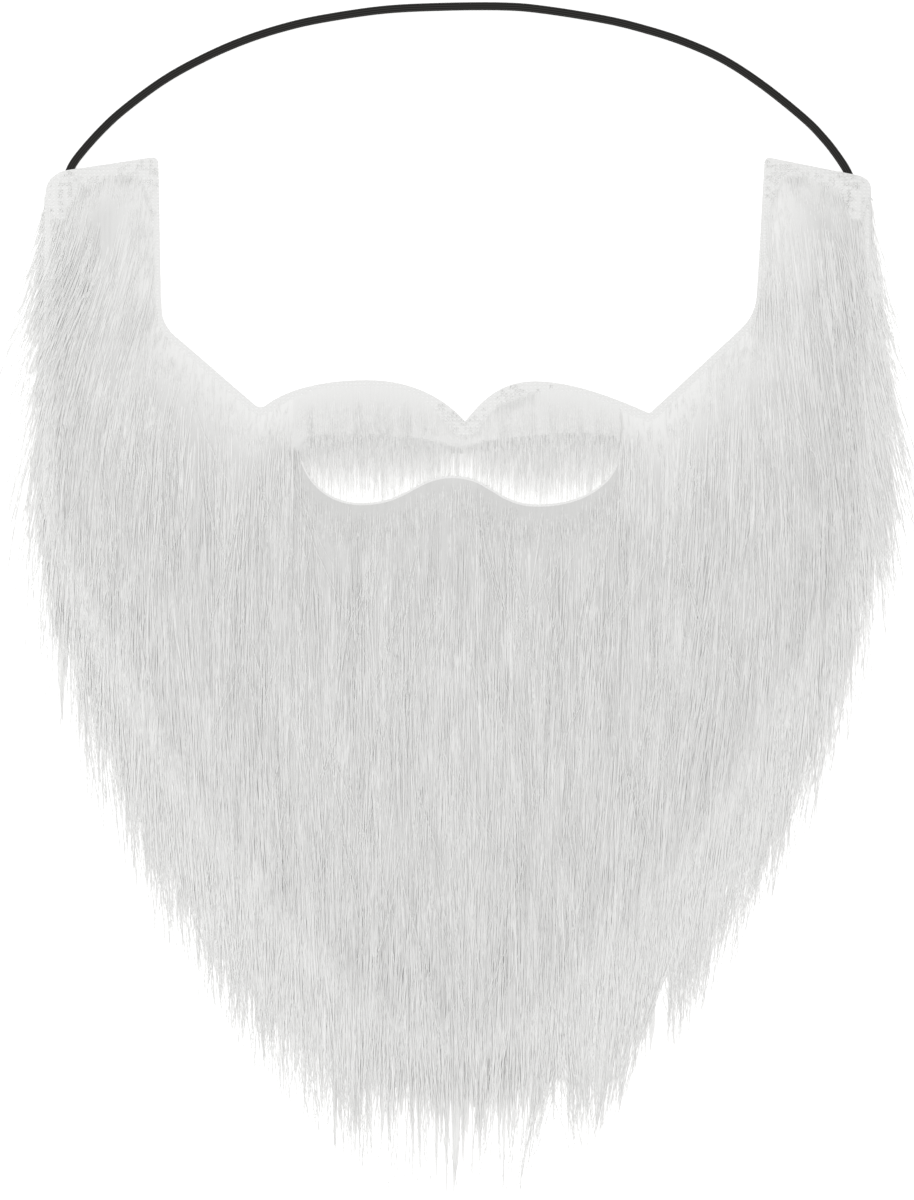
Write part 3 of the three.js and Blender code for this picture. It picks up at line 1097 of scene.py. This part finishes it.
    def columns(self, x: np.ndarray) -> tuple[np.ndarray, np.ndarray]:
        """Fills the felted mass, seen from above, with columns that run down the hair to a ragged hem.

        Args:
            x: The columns' places.

        Returns:
            The places of the points, one to a row, and the triangles as rows of place numbers.
        """
        sizes = self.felt_sizes
        low, high = self.span(x)
        middle = np.maximum(low + sizes.row, sizes.body_top)
        tails = np.minimum(self.random.exponential(sizes.ragged, len(x)), sizes.longest_tail)
        hem = low - tails * np.linspace(1, 0, sizes.tail_rows, endpoint=False)[:, None]
        body = between(low, middle, np.linspace(0, 1, sizes.body_rows)[:, None])
        above = middle + np.arange(sizes.row, high.max() - middle.min(), sizes.row)[:, None]
        y = np.minimum(np.concatenate([hem, body, above]), high)
        rows, count = y.shape
        number = np.minimum(np.arange(rows)[:, None], (y < high).sum(0)) * count + np.arange(count)
        a, b, c, d = number[:-1, :-1], number[:-1, 1:], number[1:, 1:], number[1:, :-1]
        cells = np.stack([a, b, c, a, c, d], -1).reshape(-1, 3)
        whole = (cells[:, 1] != cells[:, 2]) & (cells[:, 0] != cells[:, 2])
        used, faces = np.unique(cells[whole], return_inverse=True)
        spots = np.stack([np.broadcast_to(x, y.shape), y], -1).reshape(-1, 2)
        return spots[used], faces.reshape(-1, 3)

    def felt(self, name: str) -> None:
        """Makes the felted mass as one closed slab.

        Args:
            name: The piece's name.
        """
        sizes = self.felt_sizes
        x = np.arange(-self.half_width, self.half_width, sizes.column)
        spots, faces = self.columns(x)
        height = self.height(spots)
        stands = np.clip((height - self.root_height) / (sizes.top - self.root_height), 0, 1)
        top = height + self.streaks(spots) * stands
        if sizes.taper:
            inner = spots[:, 1] - np.interp(spots[:, 0], x, self.span(x)[0])
            top = between(self.root_height, top, ease(inner, 0, sizes.taper))
        top = np.maximum(top, self.least_height)
        low = np.minimum(np.maximum(top - sizes.wall, self.least_height / 2), self.root_height - sizes.wall)
        piece = slab_piece(name, spots, faces, low, top, self.felt_finish)
        # the felt's paleness, partly painted light
        add_values(piece, "pale", np.tile(self.pale(spots), 2))
        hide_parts(self.node)

    def hem(self, spots: np.ndarray) -> np.ndarray:
        """Gives how far the hair has thinned out at its hem: not at all, unless a pile says so."""
        return np.zeros(len(spots))

    def add_coat(self, name: str, fibres: Fibres, coat: Coat) -> None:
        """Makes a piece of one coat's fibres; loose ends have a finish of their own, with painted shade at
        their tips.

        Args:
            name: The name's first part, which the coat's own name follows.
            fibres: The fibres to make.
            coat: The coat that they belong to.
        """
        finish = self.thin_finish if coat is Coat.FRINGE else self.finish
        piece = fibres.build(f"{name}_{coat.value}", finish)
        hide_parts(self.node)

    def long_tailed(self, even: np.ndarray) -> np.ndarray:
        """Turns an even spread from 0 to 1 to one with a long tail and a mean of 1."""
        return -np.log(np.maximum(even, self.rarest))

    def span(self, x: np.ndarray) -> tuple[np.ndarray, np.ndarray]:
        """Gives the lowest and the highest y of the felted mass at each x."""
        raise NotImplementedError

    def grows(self, spots: np.ndarray) -> np.ndarray:
        """Tells which spots are this pile's own."""
        raise NotImplementedError

    def reach(self, roots: np.ndarray, angles: np.ndarray, early: np.ndarray) -> np.ndarray:
        """Gives how far each fibre may run before it meets its limit."""
        raise NotImplementedError

    def settle(self, rings: np.ndarray, floors: np.ndarray) -> np.ndarray:
        """Lets the rings fall where nothing is under them."""
        raise NotImplementedError

    def grow(self, sizes: CoatSizes) -> Fibres:
        """Grows one coat.

        Args:
            sizes: How the coat grows.

        Returns:
            The coat's fibres.
        """
        random = self.random
        clumps = self.clumps(sizes)
        total = len(clumps)
        sway = random.normal(0, sizes.clump_sway, total) + self.lie_noise * self.noise(clumps, Pattern.LIE)
        length = random.uniform(*sizes.length, total)
        early = random.uniform(0, 1, total)
        stand = random.uniform(*sizes.stand, total) + self.relief * self.noise(clumps, Pattern.STAND)
        stand *= 1 - self.calm * self.pale(clumps)
        bend = random.normal(0, sizes.bend, total)
        gather = random.uniform(*sizes.gather, total)
        tint = random.uniform(*sizes.tint, total)

        owner = np.repeat(np.arange(total), sizes.fibres)
        offset = random.normal(0, sizes.spread, (len(owner), 2))
        kept = self.takes(clumps[owner] + offset, sizes)
        owner, offset = owner[kept], offset[kept]
        count = len(owner)
        roots = clumps[owner] + offset
        angle = sway[owner] + random.normal(0, sizes.fibre_sway, count)
        early = mirrored(early[owner] + random.normal(0, sizes.early_spread, count))
        run = length[owner] * random.uniform(sizes.shortest, 1, count)
        run = np.minimum(run, self.reach(roots, self.cut.lie(roots) + angle, early))
        stand = stand[owner] + random.normal(0, self.stand_spread, count)
        phase = random.uniform(0, 2 * np.pi, count)

        spots, before, rings, painted_shading = clumps[owner], 0.0, [], []
        for t in sizes.stations:
            lie = self.cut.lie(spots + offset) + angle + bend[owner] * t
            spots = spots + heading(lie) * ((t - before) * run)[:, None]
            before = t
            held = 1 - gather[owner] * t**self.gather_power
            place = spots + offset * held[:, None]
            place[:, 0] += sizes.wave * np.sin(phase + t * run / self.wave_run) * math.sqrt(t)
            arch = math.sin(math.pi * t**self.arch_power)
            rings.append(np.column_stack([place, self.height(place) + between(-sizes.sink, stand, arch)]))
            # painted light or shade towards the tip, and painted light at the hem
            painted_shading.append(sizes.tip_shading * t**sizes.tip_power + sizes.hem_shading * self.hem(place))
        return Fibres(
            self.settle(np.stack(rings, 1), random.uniform(*self.floor_heights, count)),
            random.uniform(*sizes.width, count),
            # a random tone, plus paleness painted where the pile is pale, partly painted light
            tint[owner] + random.normal(0, self.tint_spread, count) + self.pale_tint * self.pale(roots),
            np.radians(random.normal(0, self.roll_spread, count)),
            np.minimum(np.stack(painted_shading, 1), 1),
            sizes.stations,
        )


@dataclass(frozen=True)
class Parting:
    """A place at the hem where locks part, with a gap that widens down and to the left."""

    x: float
    y: float
    lean: float = 10.0
    opening: float = 8.0
    zone: float = 16.0

    def opened(self, spots: np.ndarray) -> np.ndarray:
        """Pushes spots aside where the gap is.

        Args:
            spots: Points, one to a row.

        Returns:
            The x of each spot.
        """
        below = np.maximum(0, self.y - spots[..., 1])
        middle = self.x - below * math.tan(math.radians(self.lean))
        half = np.minimum(below * math.tan(math.radians(self.opening)), self.zone)
        off = spots[..., 0] - middle
        pushed = np.sign(off) * between(half, self.zone, np.abs(off) / self.zone)
        return np.where(np.abs(off) < self.zone, middle + pushed, spots[..., 0])


@dataclass
class BeardPile(Pile):
    """The long pile of sideburns, cheeks and chin."""

    node: str = "beard_pile"
    fade_start: Row = (0.9, 0.83)  # the hair's level where fibres start to end, at the sides and below
    fade_run: Row = (0.04, 0.085)
    hem_start: Row = (0.87, 0.71)  # the level where painted light starts to pale the hem, at the sides and below
    hem_end: Row = (1.0, 0.86)
    hem_lean: float = 0.02
    overhang: float = 1.07  # the level where the longest fibres end
    farthest_level: float = 1.075  # a fibre past this level is left out
    half_width: float = 138.8
    felt_sizes: FeltSizes = FeltSizes(
        top=10.0,
        edge_gap=2.0,
        edge_run=22.0,
        rim_gap=0.4,
        rim_run=20.0,
        ragged=15.0,
        tail_rows=2,
        body_rows=34,
        body_top=50.0,
    )
    march: float = 4.0  # the step in which a fibre looks for the hair's edge
    farthest: float = 140.0
    edge_inset: float = 0.25  # how far from the tabs' inner edges fibres stay
    edge_bank: float = 2.0
    partings: tuple[Parting, ...] = (Parting(70.6, -98.0), Parting(37.7, -125.5))

    def coats(self) -> dict[Coat, CoatSizes]:
        """Gives the sizes of the beard's coats.

        Returns:
            The sizes by coat, in the order that the coats grow.
        """
        return {
            Coat.GUARD: CoatSizes(
                pitch=3.5,
                fibres=4,
                spread=1.3,
                length=(66, 96),
                stand=(0.05, 0.6),
                width=(0.28, 0.42),
                gather=(0.1, 0.6),
                tint=(0.0, 1.0),
                stations=(0, 0.12, 0.4, 0.8, 1.0),
            ),
            Coat.FRINGE: CoatSizes(
                pitch=1.5,
                fibres=5,
                spread=1.2,
                length=(85, 120),
                stand=(0.05, 0.4),
                width=(0.26, 0.4),
                gather=(0.0, 0.05),
                # paler than the guard coat's: painted light over the hem's shade
                tint=(0.7, 1.1),
                stations=(0, 0.55, 0.9, 1.0),
                shortest=0.8,
                clump_sway=2.0,
                fibre_sway=2.5,
                bend=6.0,
                ring=(0.86, 0.95),
                early_spread=1.0,
                tip_shading=0.8,
                tip_power=3.0,
                hem_shading=0.0,
            ),
            Coat.NAP: CoatSizes(
                pitch=2.0,
                fibres=5,
                spread=0.9,
                length=(9, 24),
                stand=(0.1, 0.4),
                width=(0.24, 0.34),
                gather=(0.0, 0.2),
                tint=(0.3, 0.9),
                stations=(0, 0.4, 1.0),
                band=9.0,
            ),
            Coat.STRAY: CoatSizes(
                pitch=10.0,
                fibres=2,
                spread=3.0,
                length=(40, 80),
                stand=(0.7, 1.4),
                width=(0.2, 0.28),
                gather=(0.0, 0.2),
                tint=(0.6, 1.0),
                stations=(0, 0.12, 0.38, 0.7, 1.0),
                clump_sway=7.0,
                fibre_sway=5.0,
                bend=12.0,
            ),
        }

    def zones(self) -> dict[str, float]:
        """Names the beard's zones from left to right.

        Returns:
            The x where each zone ends, by its name.
        """
        return {
            "sideburn_hair_left": -92.0,
            "cheek_hair_left": -46.0,
            "chin_hair_left": 0.0,
            "chin_hair_right": 46.0,
            "cheek_hair_right": 92.0,
            "sideburn_hair_right": math.inf,
        }

    def pale(self, spots: np.ndarray) -> np.ndarray:
        """Gives how pale the beard is: most at the upper cut edge and at the hem, where the paleness is
        painted light on the fallen hair.
        """
        return np.maximum(super().pale(spots), self.hem(spots))

    def hem(self, spots: np.ndarray) -> np.ndarray:
        """Gives how far the hair has thinned out: 0 over the body, 1 in its soft edge, where painted light
        pales it.
        """
        low = self.lowness(spots)
        return ease(self.thinned(spots), between(*self.hem_start, low), between(*self.hem_end, low))

    def lowness(self, spots: np.ndarray) -> np.ndarray:
        """Gives how low in the beard each spot lies: 0 at the sides, 1 at the bottom."""
        return np.clip((self.cut.hair.centre_y - spots[..., 1]) / self.cut.hair.drop, 0, 1)

    def thinned(self, spots: np.ndarray) -> np.ndarray:
        """Gives how far out in the hair each spot lies: 1 at its edge, and a little more on the left."""
        return self.cut.hair.level(spots) - self.hem_lean * spots[..., 0] / self.cut.hair.half_width

    def grows(self, spots: np.ndarray) -> np.ndarray:
        """Tells which spots lie on the cloth outside the moustache."""
        return self.cut.on_cloth(spots) & ~self.cut.in_moustache(spots)

    def span(self, x: np.ndarray) -> tuple[np.ndarray, np.ndarray]:
        """Runs from the felt's hem up to the mouth hole or the upper cut edge.

        Args:
            x: The columns' places.

        Returns:
            The lowest and the highest y at each place.
        """
        mouth = (x > self.cut.mouth_start[0]) & (x < self.cut.mouth_end()[0])
        high = np.where(mouth, self.cut.lower_rim(x), self.cut.top(x)) - self.felt_sizes.margin
        past = np.maximum(0, np.abs(x) - self.cut.cloth.half_width)
        share = past / (self.cut.felt.half_width - self.cut.cloth.half_width)
        low = self.cut.felt.low(x)
        return low, between(high, np.minimum(high, self.cut.felt.centre_y), np.minimum(1, share))

    def reach(self, roots: np.ndarray, angles: np.ndarray, early: np.ndarray) -> np.ndarray:
        """Gives how far each fibre may run before it meets the hair's soft edge.

        Args:
            roots: Where the fibres grow, one to a row.
            angles: Which way they lie.
            early: From 0 to 1, the share of the fibres that end later in the soft edge.

        Returns:
            The longest run for each fibre.
        """
        steps = np.arange(self.march, self.farthest, self.march)
        spots = roots[:, None] + steps[None, :, None] * heading(angles)[:, None]
        low = self.lowness(spots)
        tail = self.long_tailed(early)[:, None]
        limit = between(*self.fade_start, low) + between(*self.fade_run, low) * tail
        past = self.thinned(spots) > np.minimum(limit, self.overhang)
        first = np.where(past.any(1), past.argmax(1), len(steps) - 1)
        return steps[first]

    def settle(self, rings: np.ndarray, floors: np.ndarray) -> np.ndarray:
        """Parts the hem, lets hair fall to the floor past the cloth, and keeps it off the face gap.

        Args:
            rings: Middle points of the fibres.
            floors: How high each fibre lies on the floor.

        Returns:
            The settled points.
        """
        for parting in self.partings:
            rings[..., 0] = parting.opened(rings[..., :2])
        fallen = self.cut.fallen(rings[..., :2])
        rings[..., 2] = np.maximum(rings[..., 2] + floors[:, None] * fallen, self.least_height)
        knee = self.cut.right_corners[1].y
        inset = self.edge_inset + self.edge_bank * (floors[:, None] - floors.min())
        x, y = rings[..., 0], rings[..., 1]
        for right, sign in ((False, -1), (True, 1)):
            edge = self.cut.tab_side(y, right)
            strays = (y > knee) & (x * sign > 0) & (sign * (x - edge) < inset)
            rings[..., 0] = np.where(strays, edge + sign * inset, rings[..., 0])
        return rings

    def build(self) -> None:
        """Makes the felted mass, grows every coat and makes a piece of it for each zone."""
        self.felt("beard_felt")
        for coat, sizes in self.coats().items():
            fibres = self.grow(sizes)
            middle = fibres.rings[:, 0, 0]
            near = self.cut.hair.level(fibres.rings).max(1) < self.farthest_level
            start = -math.inf
            for name, end in self.zones().items():
                chosen = (middle >= start) & (middle < end) & near
                self.add_coat(name, fibres.picked(chosen), coat)
                start = end


@dataclass
class MoustachePile(Pile):
    """The shorter pile of the moustache, which thins out over the mouth hole."""

    node: str = "moustache_pile"
    half_width: float = 54.5
    felt_sizes: FeltSizes = FeltSizes(top=3.8, edge_gap=1.5, edge_run=9.0, taper=3.0, row=1.6)
    relief: float = 0.1
    lie_noise: float = 0.5
    tip_start: float = 80.0  # the y where fibres start to end
    tip_run: Row = (12.5, 15.5)  # how slowly they do, on the left and on the right
    pale_run: float = 12.0
    tip_turn: float = 15.0  # where the left value has turned to the right one
    tuck: float = 2.0  # how far the longest reach under the mouth hole's lower rim
    tip_heights: Row = (0.3, 1.0)
    least_run: float = 3.0

    def sizes(self) -> CoatSizes:
        """Gives the sizes of the moustache's coat.

        Returns:
            How the coat grows.
        """
        return CoatSizes(
            pitch=1.5,
            fibres=9,
            spread=0.9,
            length=(40, 52),
            shortest=0.75,
            stand=(0.05, 0.3),
            width=(0.1, 0.16),
            gather=(0.0, 0.05),
            # paler than the beard's: painted light that lifts the shade among the moustache's fibres
            tint=(0.75, 1.1),
            stations=(0, 0.35, 0.9, 1.0),
            clump_sway=0.4,
            fibre_sway=0.5,
            bend=1.0,
            wave=0.1,
            early_spread=1.0,
        )

    def span(self, x: np.ndarray) -> tuple[np.ndarray, np.ndarray]:
        """Runs from the mouth hole up to the upper cut edge at each x."""
        margin = self.felt_sizes.margin
        return self.cut.upper_rim(x) + margin, self.cut.top(x) - margin

    def grows(self, spots: np.ndarray) -> np.ndarray:
        """Tells which spots lie on the cloth in the moustache's field."""
        return self.cut.on_cloth(spots) & self.cut.in_moustache(spots)

    def reach(self, roots: np.ndarray, angles: np.ndarray, early: np.ndarray) -> np.ndarray:
        """Gives how far each fibre may run before it thins out over the mouth hole.

        Args:
            roots: Where the fibres grow, one to a row.
            angles: Which way they lie.
            early: From 0 to 1, the share of the fibres that end lower.

        Returns:
            The longest run for each fibre.
        """
        right = ease(roots[:, 0], -self.tip_turn, self.tip_turn)
        tips = self.tip_start - between(*self.tip_run, right) * self.long_tailed(early)
        tips = np.maximum(tips, self.cut.lower_rim(roots[:, 0]) - self.tuck)
        return np.maximum(self.least_run, (roots[:, 1] - tips) / np.cos(np.radians(angles)))

    def settle(self, rings: np.ndarray, floors: np.ndarray) -> np.ndarray:
        """Lets the hair droop over the mouth hole and tucks it under the lower rim.

        Args:
            rings: Middle points of the fibres.
            floors: A spread of heights, one for each fibre.

        Returns:
            The settled points.
        """
        ends = between(*self.tip_heights, floors / max(self.floor_heights))[:, None]
        below = ease(-rings[..., 1], -self.tip_start, -self.cut.lower_rim(rings[..., 0]))
        rings[..., 2] = between(rings[..., 2], ends, below)
        return rings

    def build(self) -> None:
        """Makes the felted mass and the coat on it."""
        self.felt("moustache_felt")
        self.add_coat("moustache_hair", self.grow(self.sizes()), Coat.GUARD)


@dataclass
class KnitBacking:
    """The knitted cloth that the pile grows from, with loops that show at its bare places."""

    cut: BeardCut
    cord: "ElasticCord"
    node: str = "knit_backing"
    thickness: float = 1.5
    pitch: float = 3.0
    edge_drop: float = 0.15
    seat: float = 0.02
    lift: float = 1.85  # over a sewn cord end
    lift_from: float = 1.7  # where the lift starts to end, from the cord's middle line
    lift_to: float = 4.2
    sewn_share: int = 12  # one part in so many of the cord is looked at from each end
    loop_margin: float = 0.9
    loop_pitch: Row = (1.5, 1.25)
    loop_size: tuple[float, float, float] = (0.3, 0.62, 0.1)
    loop_shift: float = 0.12
    loop_lean: Row = (24.0, 9.0)  # its mean and its spread
    loop_share: float = 0.7  # how many show at the barest place
    leg_share: float = 0.25  # a leg's distance from the loop's middle, as a share of the pitch
    bead_sides: int = 6
    bead_width: float = 0.85
    bead_shoulder: float = 0.5
    weld: float = 1e-6
    seed: int = 5

    def flat(self) -> tuple[np.ndarray, np.ndarray]:
        """Fills the cut with triangles.

        Returns:
            The points, the cut edges' own first, and the triangles as rows of point numbers.
        """
        loops = [self.cut.outline(), self.cut.mouth()]
        spots = self.grid((self.pitch, self.pitch))
        rims = [np.vstack([loop, loop[:1]]) for loop in loops]
        clear = np.minimum(*[distance_to(spots, rim) for rim in rims]) > self.pitch / 2
        points = np.concatenate([*loops, spots[clear]])
        edges, start = [], 0
        for loop in loops:
            edges += [(start + i, start + (i + 1) % len(loop)) for i in range(len(loop))]
            start += len(loop)
        found = delaunay_2d_cdt([Vector(p) for p in points], edges, [], 0, self.weld)
        points = np.array([tuple(p) for p in found[0]])
        faces = np.array(found[2])
        return points, faces[self.cut.on_cloth(points[faces].mean(1))]

    def grid(self, pitch: Row) -> np.ndarray:
        """Gives the points of an even grid that lie on the cloth."""
        spots = self.cut.grid(pitch)
        return spots[self.cut.on_cloth(spots)]

    def lifted(self, spots: np.ndarray) -> np.ndarray:
        """Gives how far the cloth lifts over the sewn cord ends.

        Args:
            spots: Points, one to a row.

        Returns:
            The lift at each spot.
        """
        line = self.cord.line()[:, :2]
        sewn = len(line) // self.sewn_share
        near = np.minimum(distance_to(spots, line[:sewn]), distance_to(spots, line[-sewn:]))
        return self.lift * (1 - ease(near, self.lift_from, self.lift_to))

    def cloth(self) -> bpy.types.Object:
        """Makes the cloth, a little lower at the cut than inside it.

        Returns:
            The new object.
        """
        spots, faces = self.flat()
        low = self.seat + self.lifted(spots)
        top = low - self.seat + self.thickness
        top[np.unique(border(faces, len(spots)))] -= self.edge_drop
        return slab_piece("knit_cloth", spots, faces, low, top, self.material)

    def loops(self) -> bpy.types.Object:
        """Makes the loops that show at the bare places: pairs of small leaning beads.

        Returns:
            The new object.
        """
        random = np.random.default_rng(self.seed)
        spots = self.grid(self.loop_pitch)
        spots += random.normal(0, self.loop_shift, spots.shape)
        chance = self.loop_share * self.cut.bare(spots) * (self.cut.from_rim(spots) > self.loop_margin)
        spots = spots[random.uniform(0, 1, len(spots)) < chance]
        unit, faces = self.bead()
        across, along, up = (unit * self.loop_size).T
        height = (self.thickness + self.lifted(spots))[:, None]
        beads = []
        for sign in (-1, 1):
            lean = np.radians(random.normal(sign * self.loop_lean[0], self.loop_lean[1], len(spots)))[:, None]
            leg = spots[:, :1] + sign * self.leg_share * self.loop_pitch[0]
            x = leg + across * np.cos(lean) - along * np.sin(lean)
            y = spots[:, 1:] + across * np.sin(lean) + along * np.cos(lean)
            beads.append(np.stack([x, y, up + height], -1))
        points = np.concatenate(beads)
        count, size = points.shape[:2]
        skin = repeated(faces, count, size)
        return mesh_piece("knit_loops", points.reshape(-1, 3), skin, self.material)

    def bead(self) -> tuple[np.ndarray, np.ndarray]:
        """Makes one long bead of length two, standing for one leg of a loop.

        Returns:
            Its points and its triangles.
        """
        sides = self.bead_sides
        turn = np.arange(sides) * 2 * np.pi / sides
        ring = np.column_stack([np.cos(turn), 0 * turn, np.sin(turn)]) * self.bead_width
        shoulder = (0, self.bead_shoulder, 0)
        points = np.vstack([[(0, -1, 0)], ring - shoulder, ring + shoulder, [(0, 1, 0)]])
        rows = []
        for s in range(sides):
            a, b = 1 + s, 1 + (s + 1) % sides
            c, d = a + sides, b + sides
            rows += [(0, a, b), (a, c, d), (a, d, b), (c, 2 * sides + 1, d)]
        return points, np.array(rows)

    def build(self) -> None:
        """Makes the cloth and its loops."""
        self.material = BrushedKnit().material()
        cloth, loops = self.cloth(), self.loops()
        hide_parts(self.node)
        outline, mouth = self.cut.outline(), self.cut.mouth()


@dataclass
class ElasticCord:
    """The flat ribbed elastic cord that lies on the floor from tab to tab."""

    node: str = "elastic_cord"
    width: float = 2.7
    thickness: float = 1.5
    height: float = 0.8
    length: float = 318.0
    ribs: int = 4
    rib_steps: int = 4
    rib_depth: float = 0.13
    flat_power: int = 4  # the higher, the flatter the section
    braid_pitch: float = 1.6
    braid_depth: float = 0.035
    step: float = 0.6
    exit_point: int = 2  # the route's point where it leaves the left tab
    route: tuple[Row, ...] = (
        (-132.4, 154.6),
        (-131.6, 160.4),
        (-129.7, 166.3),
        (-126.9, 171.5),
        (-119.3, 180.3),
        (-111, 188),
        (-97.7, 197.8),
        (-84.3, 205.2),
        (-71, 211),
        (-57.7, 215.3),
        (-44.3, 218.3),
        (-24.3, 221.2),
        (-4.3, 222.2),
        (15.7, 222.3),
        (29, 221.2),
        (49, 218),
        (62.3, 214.8),
        (75.7, 210.5),
        (89, 204.5),
        (102.3, 195.8),
        (115.7, 185),
        (122.3, 178.3),
        (127, 172.3),
        (130.5, 166.6),
        (132.3, 160.6),
        (132.9, 154.6),
    )

    def line(self) -> np.ndarray:
        """Follows the middle line through the route's points on one smooth curve.

        Returns:
            The line's points, one to a row.
        """
        route = np.array(self.route, float)
        ends = (2 * route[0] - route[1], 2 * route[-1] - route[-2])
        p = np.vstack([ends[0], route, ends[1]])
        stretches = []
        for a, b, c, d in zip(p, p[1:], p[2:], p[3:]):
            steps = max(2, round(float(np.linalg.norm(c - b)) / self.step))
            t = np.linspace(0, 1, steps, endpoint=False)[:, None]
            bent = 2 * b + (c - a) * t + (2 * a - 5 * b + 4 * c - d) * t**2 + (3 * b - a - 3 * c + d) * t**3
            stretches.append(bent / 2)
        flat = np.vstack([*stretches, route[-1:]])
        return np.column_stack([flat, np.full(len(flat), self.height)])

    def section(self) -> tuple[np.ndarray, np.ndarray]:
        """Draws the cord's section, flat with ribs above and below.

        Returns:
            Points across and up, and how near each one is to a rib's crest.
        """
        u = np.linspace(-1, 1, self.rib_steps * self.ribs + 1)
        crest = 0.5 - 0.5 * np.cos(np.pi * self.ribs * (u + 1))
        hull = self.thickness / 2 * np.sqrt(1 - u**self.flat_power)
        half = hull - self.rib_depth * (1 - crest) * (1 - u**2)
        top = np.column_stack([u * self.width / 2, half])
        low = np.column_stack([u[-2:0:-1] * self.width / 2, -half[-2:0:-1]])
        return np.vstack([top, low]), np.concatenate([crest, crest[-2:0:-1]])

    def skin(self, rings: int, sides: int) -> np.ndarray:
        """Joins rings of points to a closed tube.

        Args:
            rings: How many rings there are.
            sides: How many points each ring has.

        Returns:
            Triangles as rows of point numbers.
        """
        starts = np.arange(rings - 1)[:, None] * sides
        here = (starts + np.arange(sides)).ravel()
        turned = (starts + np.roll(np.arange(sides), -1)).ravel()
        near = np.column_stack([here, turned, turned + sides])
        far = np.column_stack([here, turned + sides, here + sides])
        cap = np.array([(0, s, s + 1) for s in range(1, sides - 1)])
        return np.concatenate([near, far, cap[:, [0, 2, 1]], cap + (rings - 1) * sides])

    def build(self) -> None:
        """Makes the cord as a ribbed tube."""
        line = self.line()
        section, crest = self.section()
        along = np.gradient(line, axis=0)
        along /= np.linalg.norm(along, axis=1, keepdims=True)
        side = np.column_stack([-along[:, 1], along[:, 0], np.zeros(len(line))])
        run = np.append(0, np.cumsum(np.linalg.norm(np.diff(line, axis=0), axis=1)))
        rib = np.floor((section[:, 0] / self.width + 0.5) * self.ribs)
        braid = self.braid_depth * np.sin(2 * np.pi * run[:, None] / self.braid_pitch + np.pi * rib[None])
        up = section[None, :, 1] + braid * crest * np.sign(section[:, 1])
        points = line[:, None] + section[None, :, :1] * side[:, None]
        points[..., 2] += up
        skin = self.skin(*points.shape[:2])
        cord = mesh_piece("ribbed_cord", points.reshape(-1, 3), skin, BraidedElastic().material())
        # how near each point is to a rib's crest, where the finish paints its highlight
        add_values(cord, "rib", np.tile(crest, len(line)))
        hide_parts(self.node)


def main() -> None:
    """Builds the studio and the beard's pieces in order."""
    logging.basicConfig(level=logging.INFO, format="%(name)s: %(message)s")
    Studio().build()
    cut = BeardCut()
    cord = ElasticCord()
    cord.build()
    backing = KnitBacking(cut, cord)
    backing.build()
    pile = "white_acrylic_pile"
    # the thin finish's tip colour is darker than its light: painted shade, so that loose ends read grey over
    # the glowing floor
    thin = AcrylicPile(f"{pile}_brushed_thin", shade="#E4E4E3", light="#F8F8F7", tip="#E4E4E3").material()
    long = AcrylicPile(f"{pile}_brushed_long", shade="#DCDCDB", light="#F2F2F1", tip="#F6F6F5").material()
    # the felt's whites are greyer than the fibres': painted shade, so that where the felt shows it matches
    # the shade among the fibres
    felt = FeltedPile(f"{pile}_felted_long", shade="#D2D2D1", light="#E0E0DF", edge="#F4F4F3").material()
    BeardPile(cut, backing, long, thin, felt, seed=11).build()
    # whiter than the long finish: painted light against the shade among the moustache's fibres
    short = AcrylicPile(f"{pile}_brushed_short", shade="#E7E7E6", light="#F7F7F6", tip="#F7F7F6").material()
    # greyer than the short fibres' whites: painted shade under the moustache's fibres
    felt = FeltedPile(f"{pile}_felted_short", shade="#E4E4E3", light="#EAEAE9", edge="#F0F0EF").material()
    MoustachePile(cut, backing, short, thin, felt, seed=23).build()


if __name__ == "__main__":
    main()
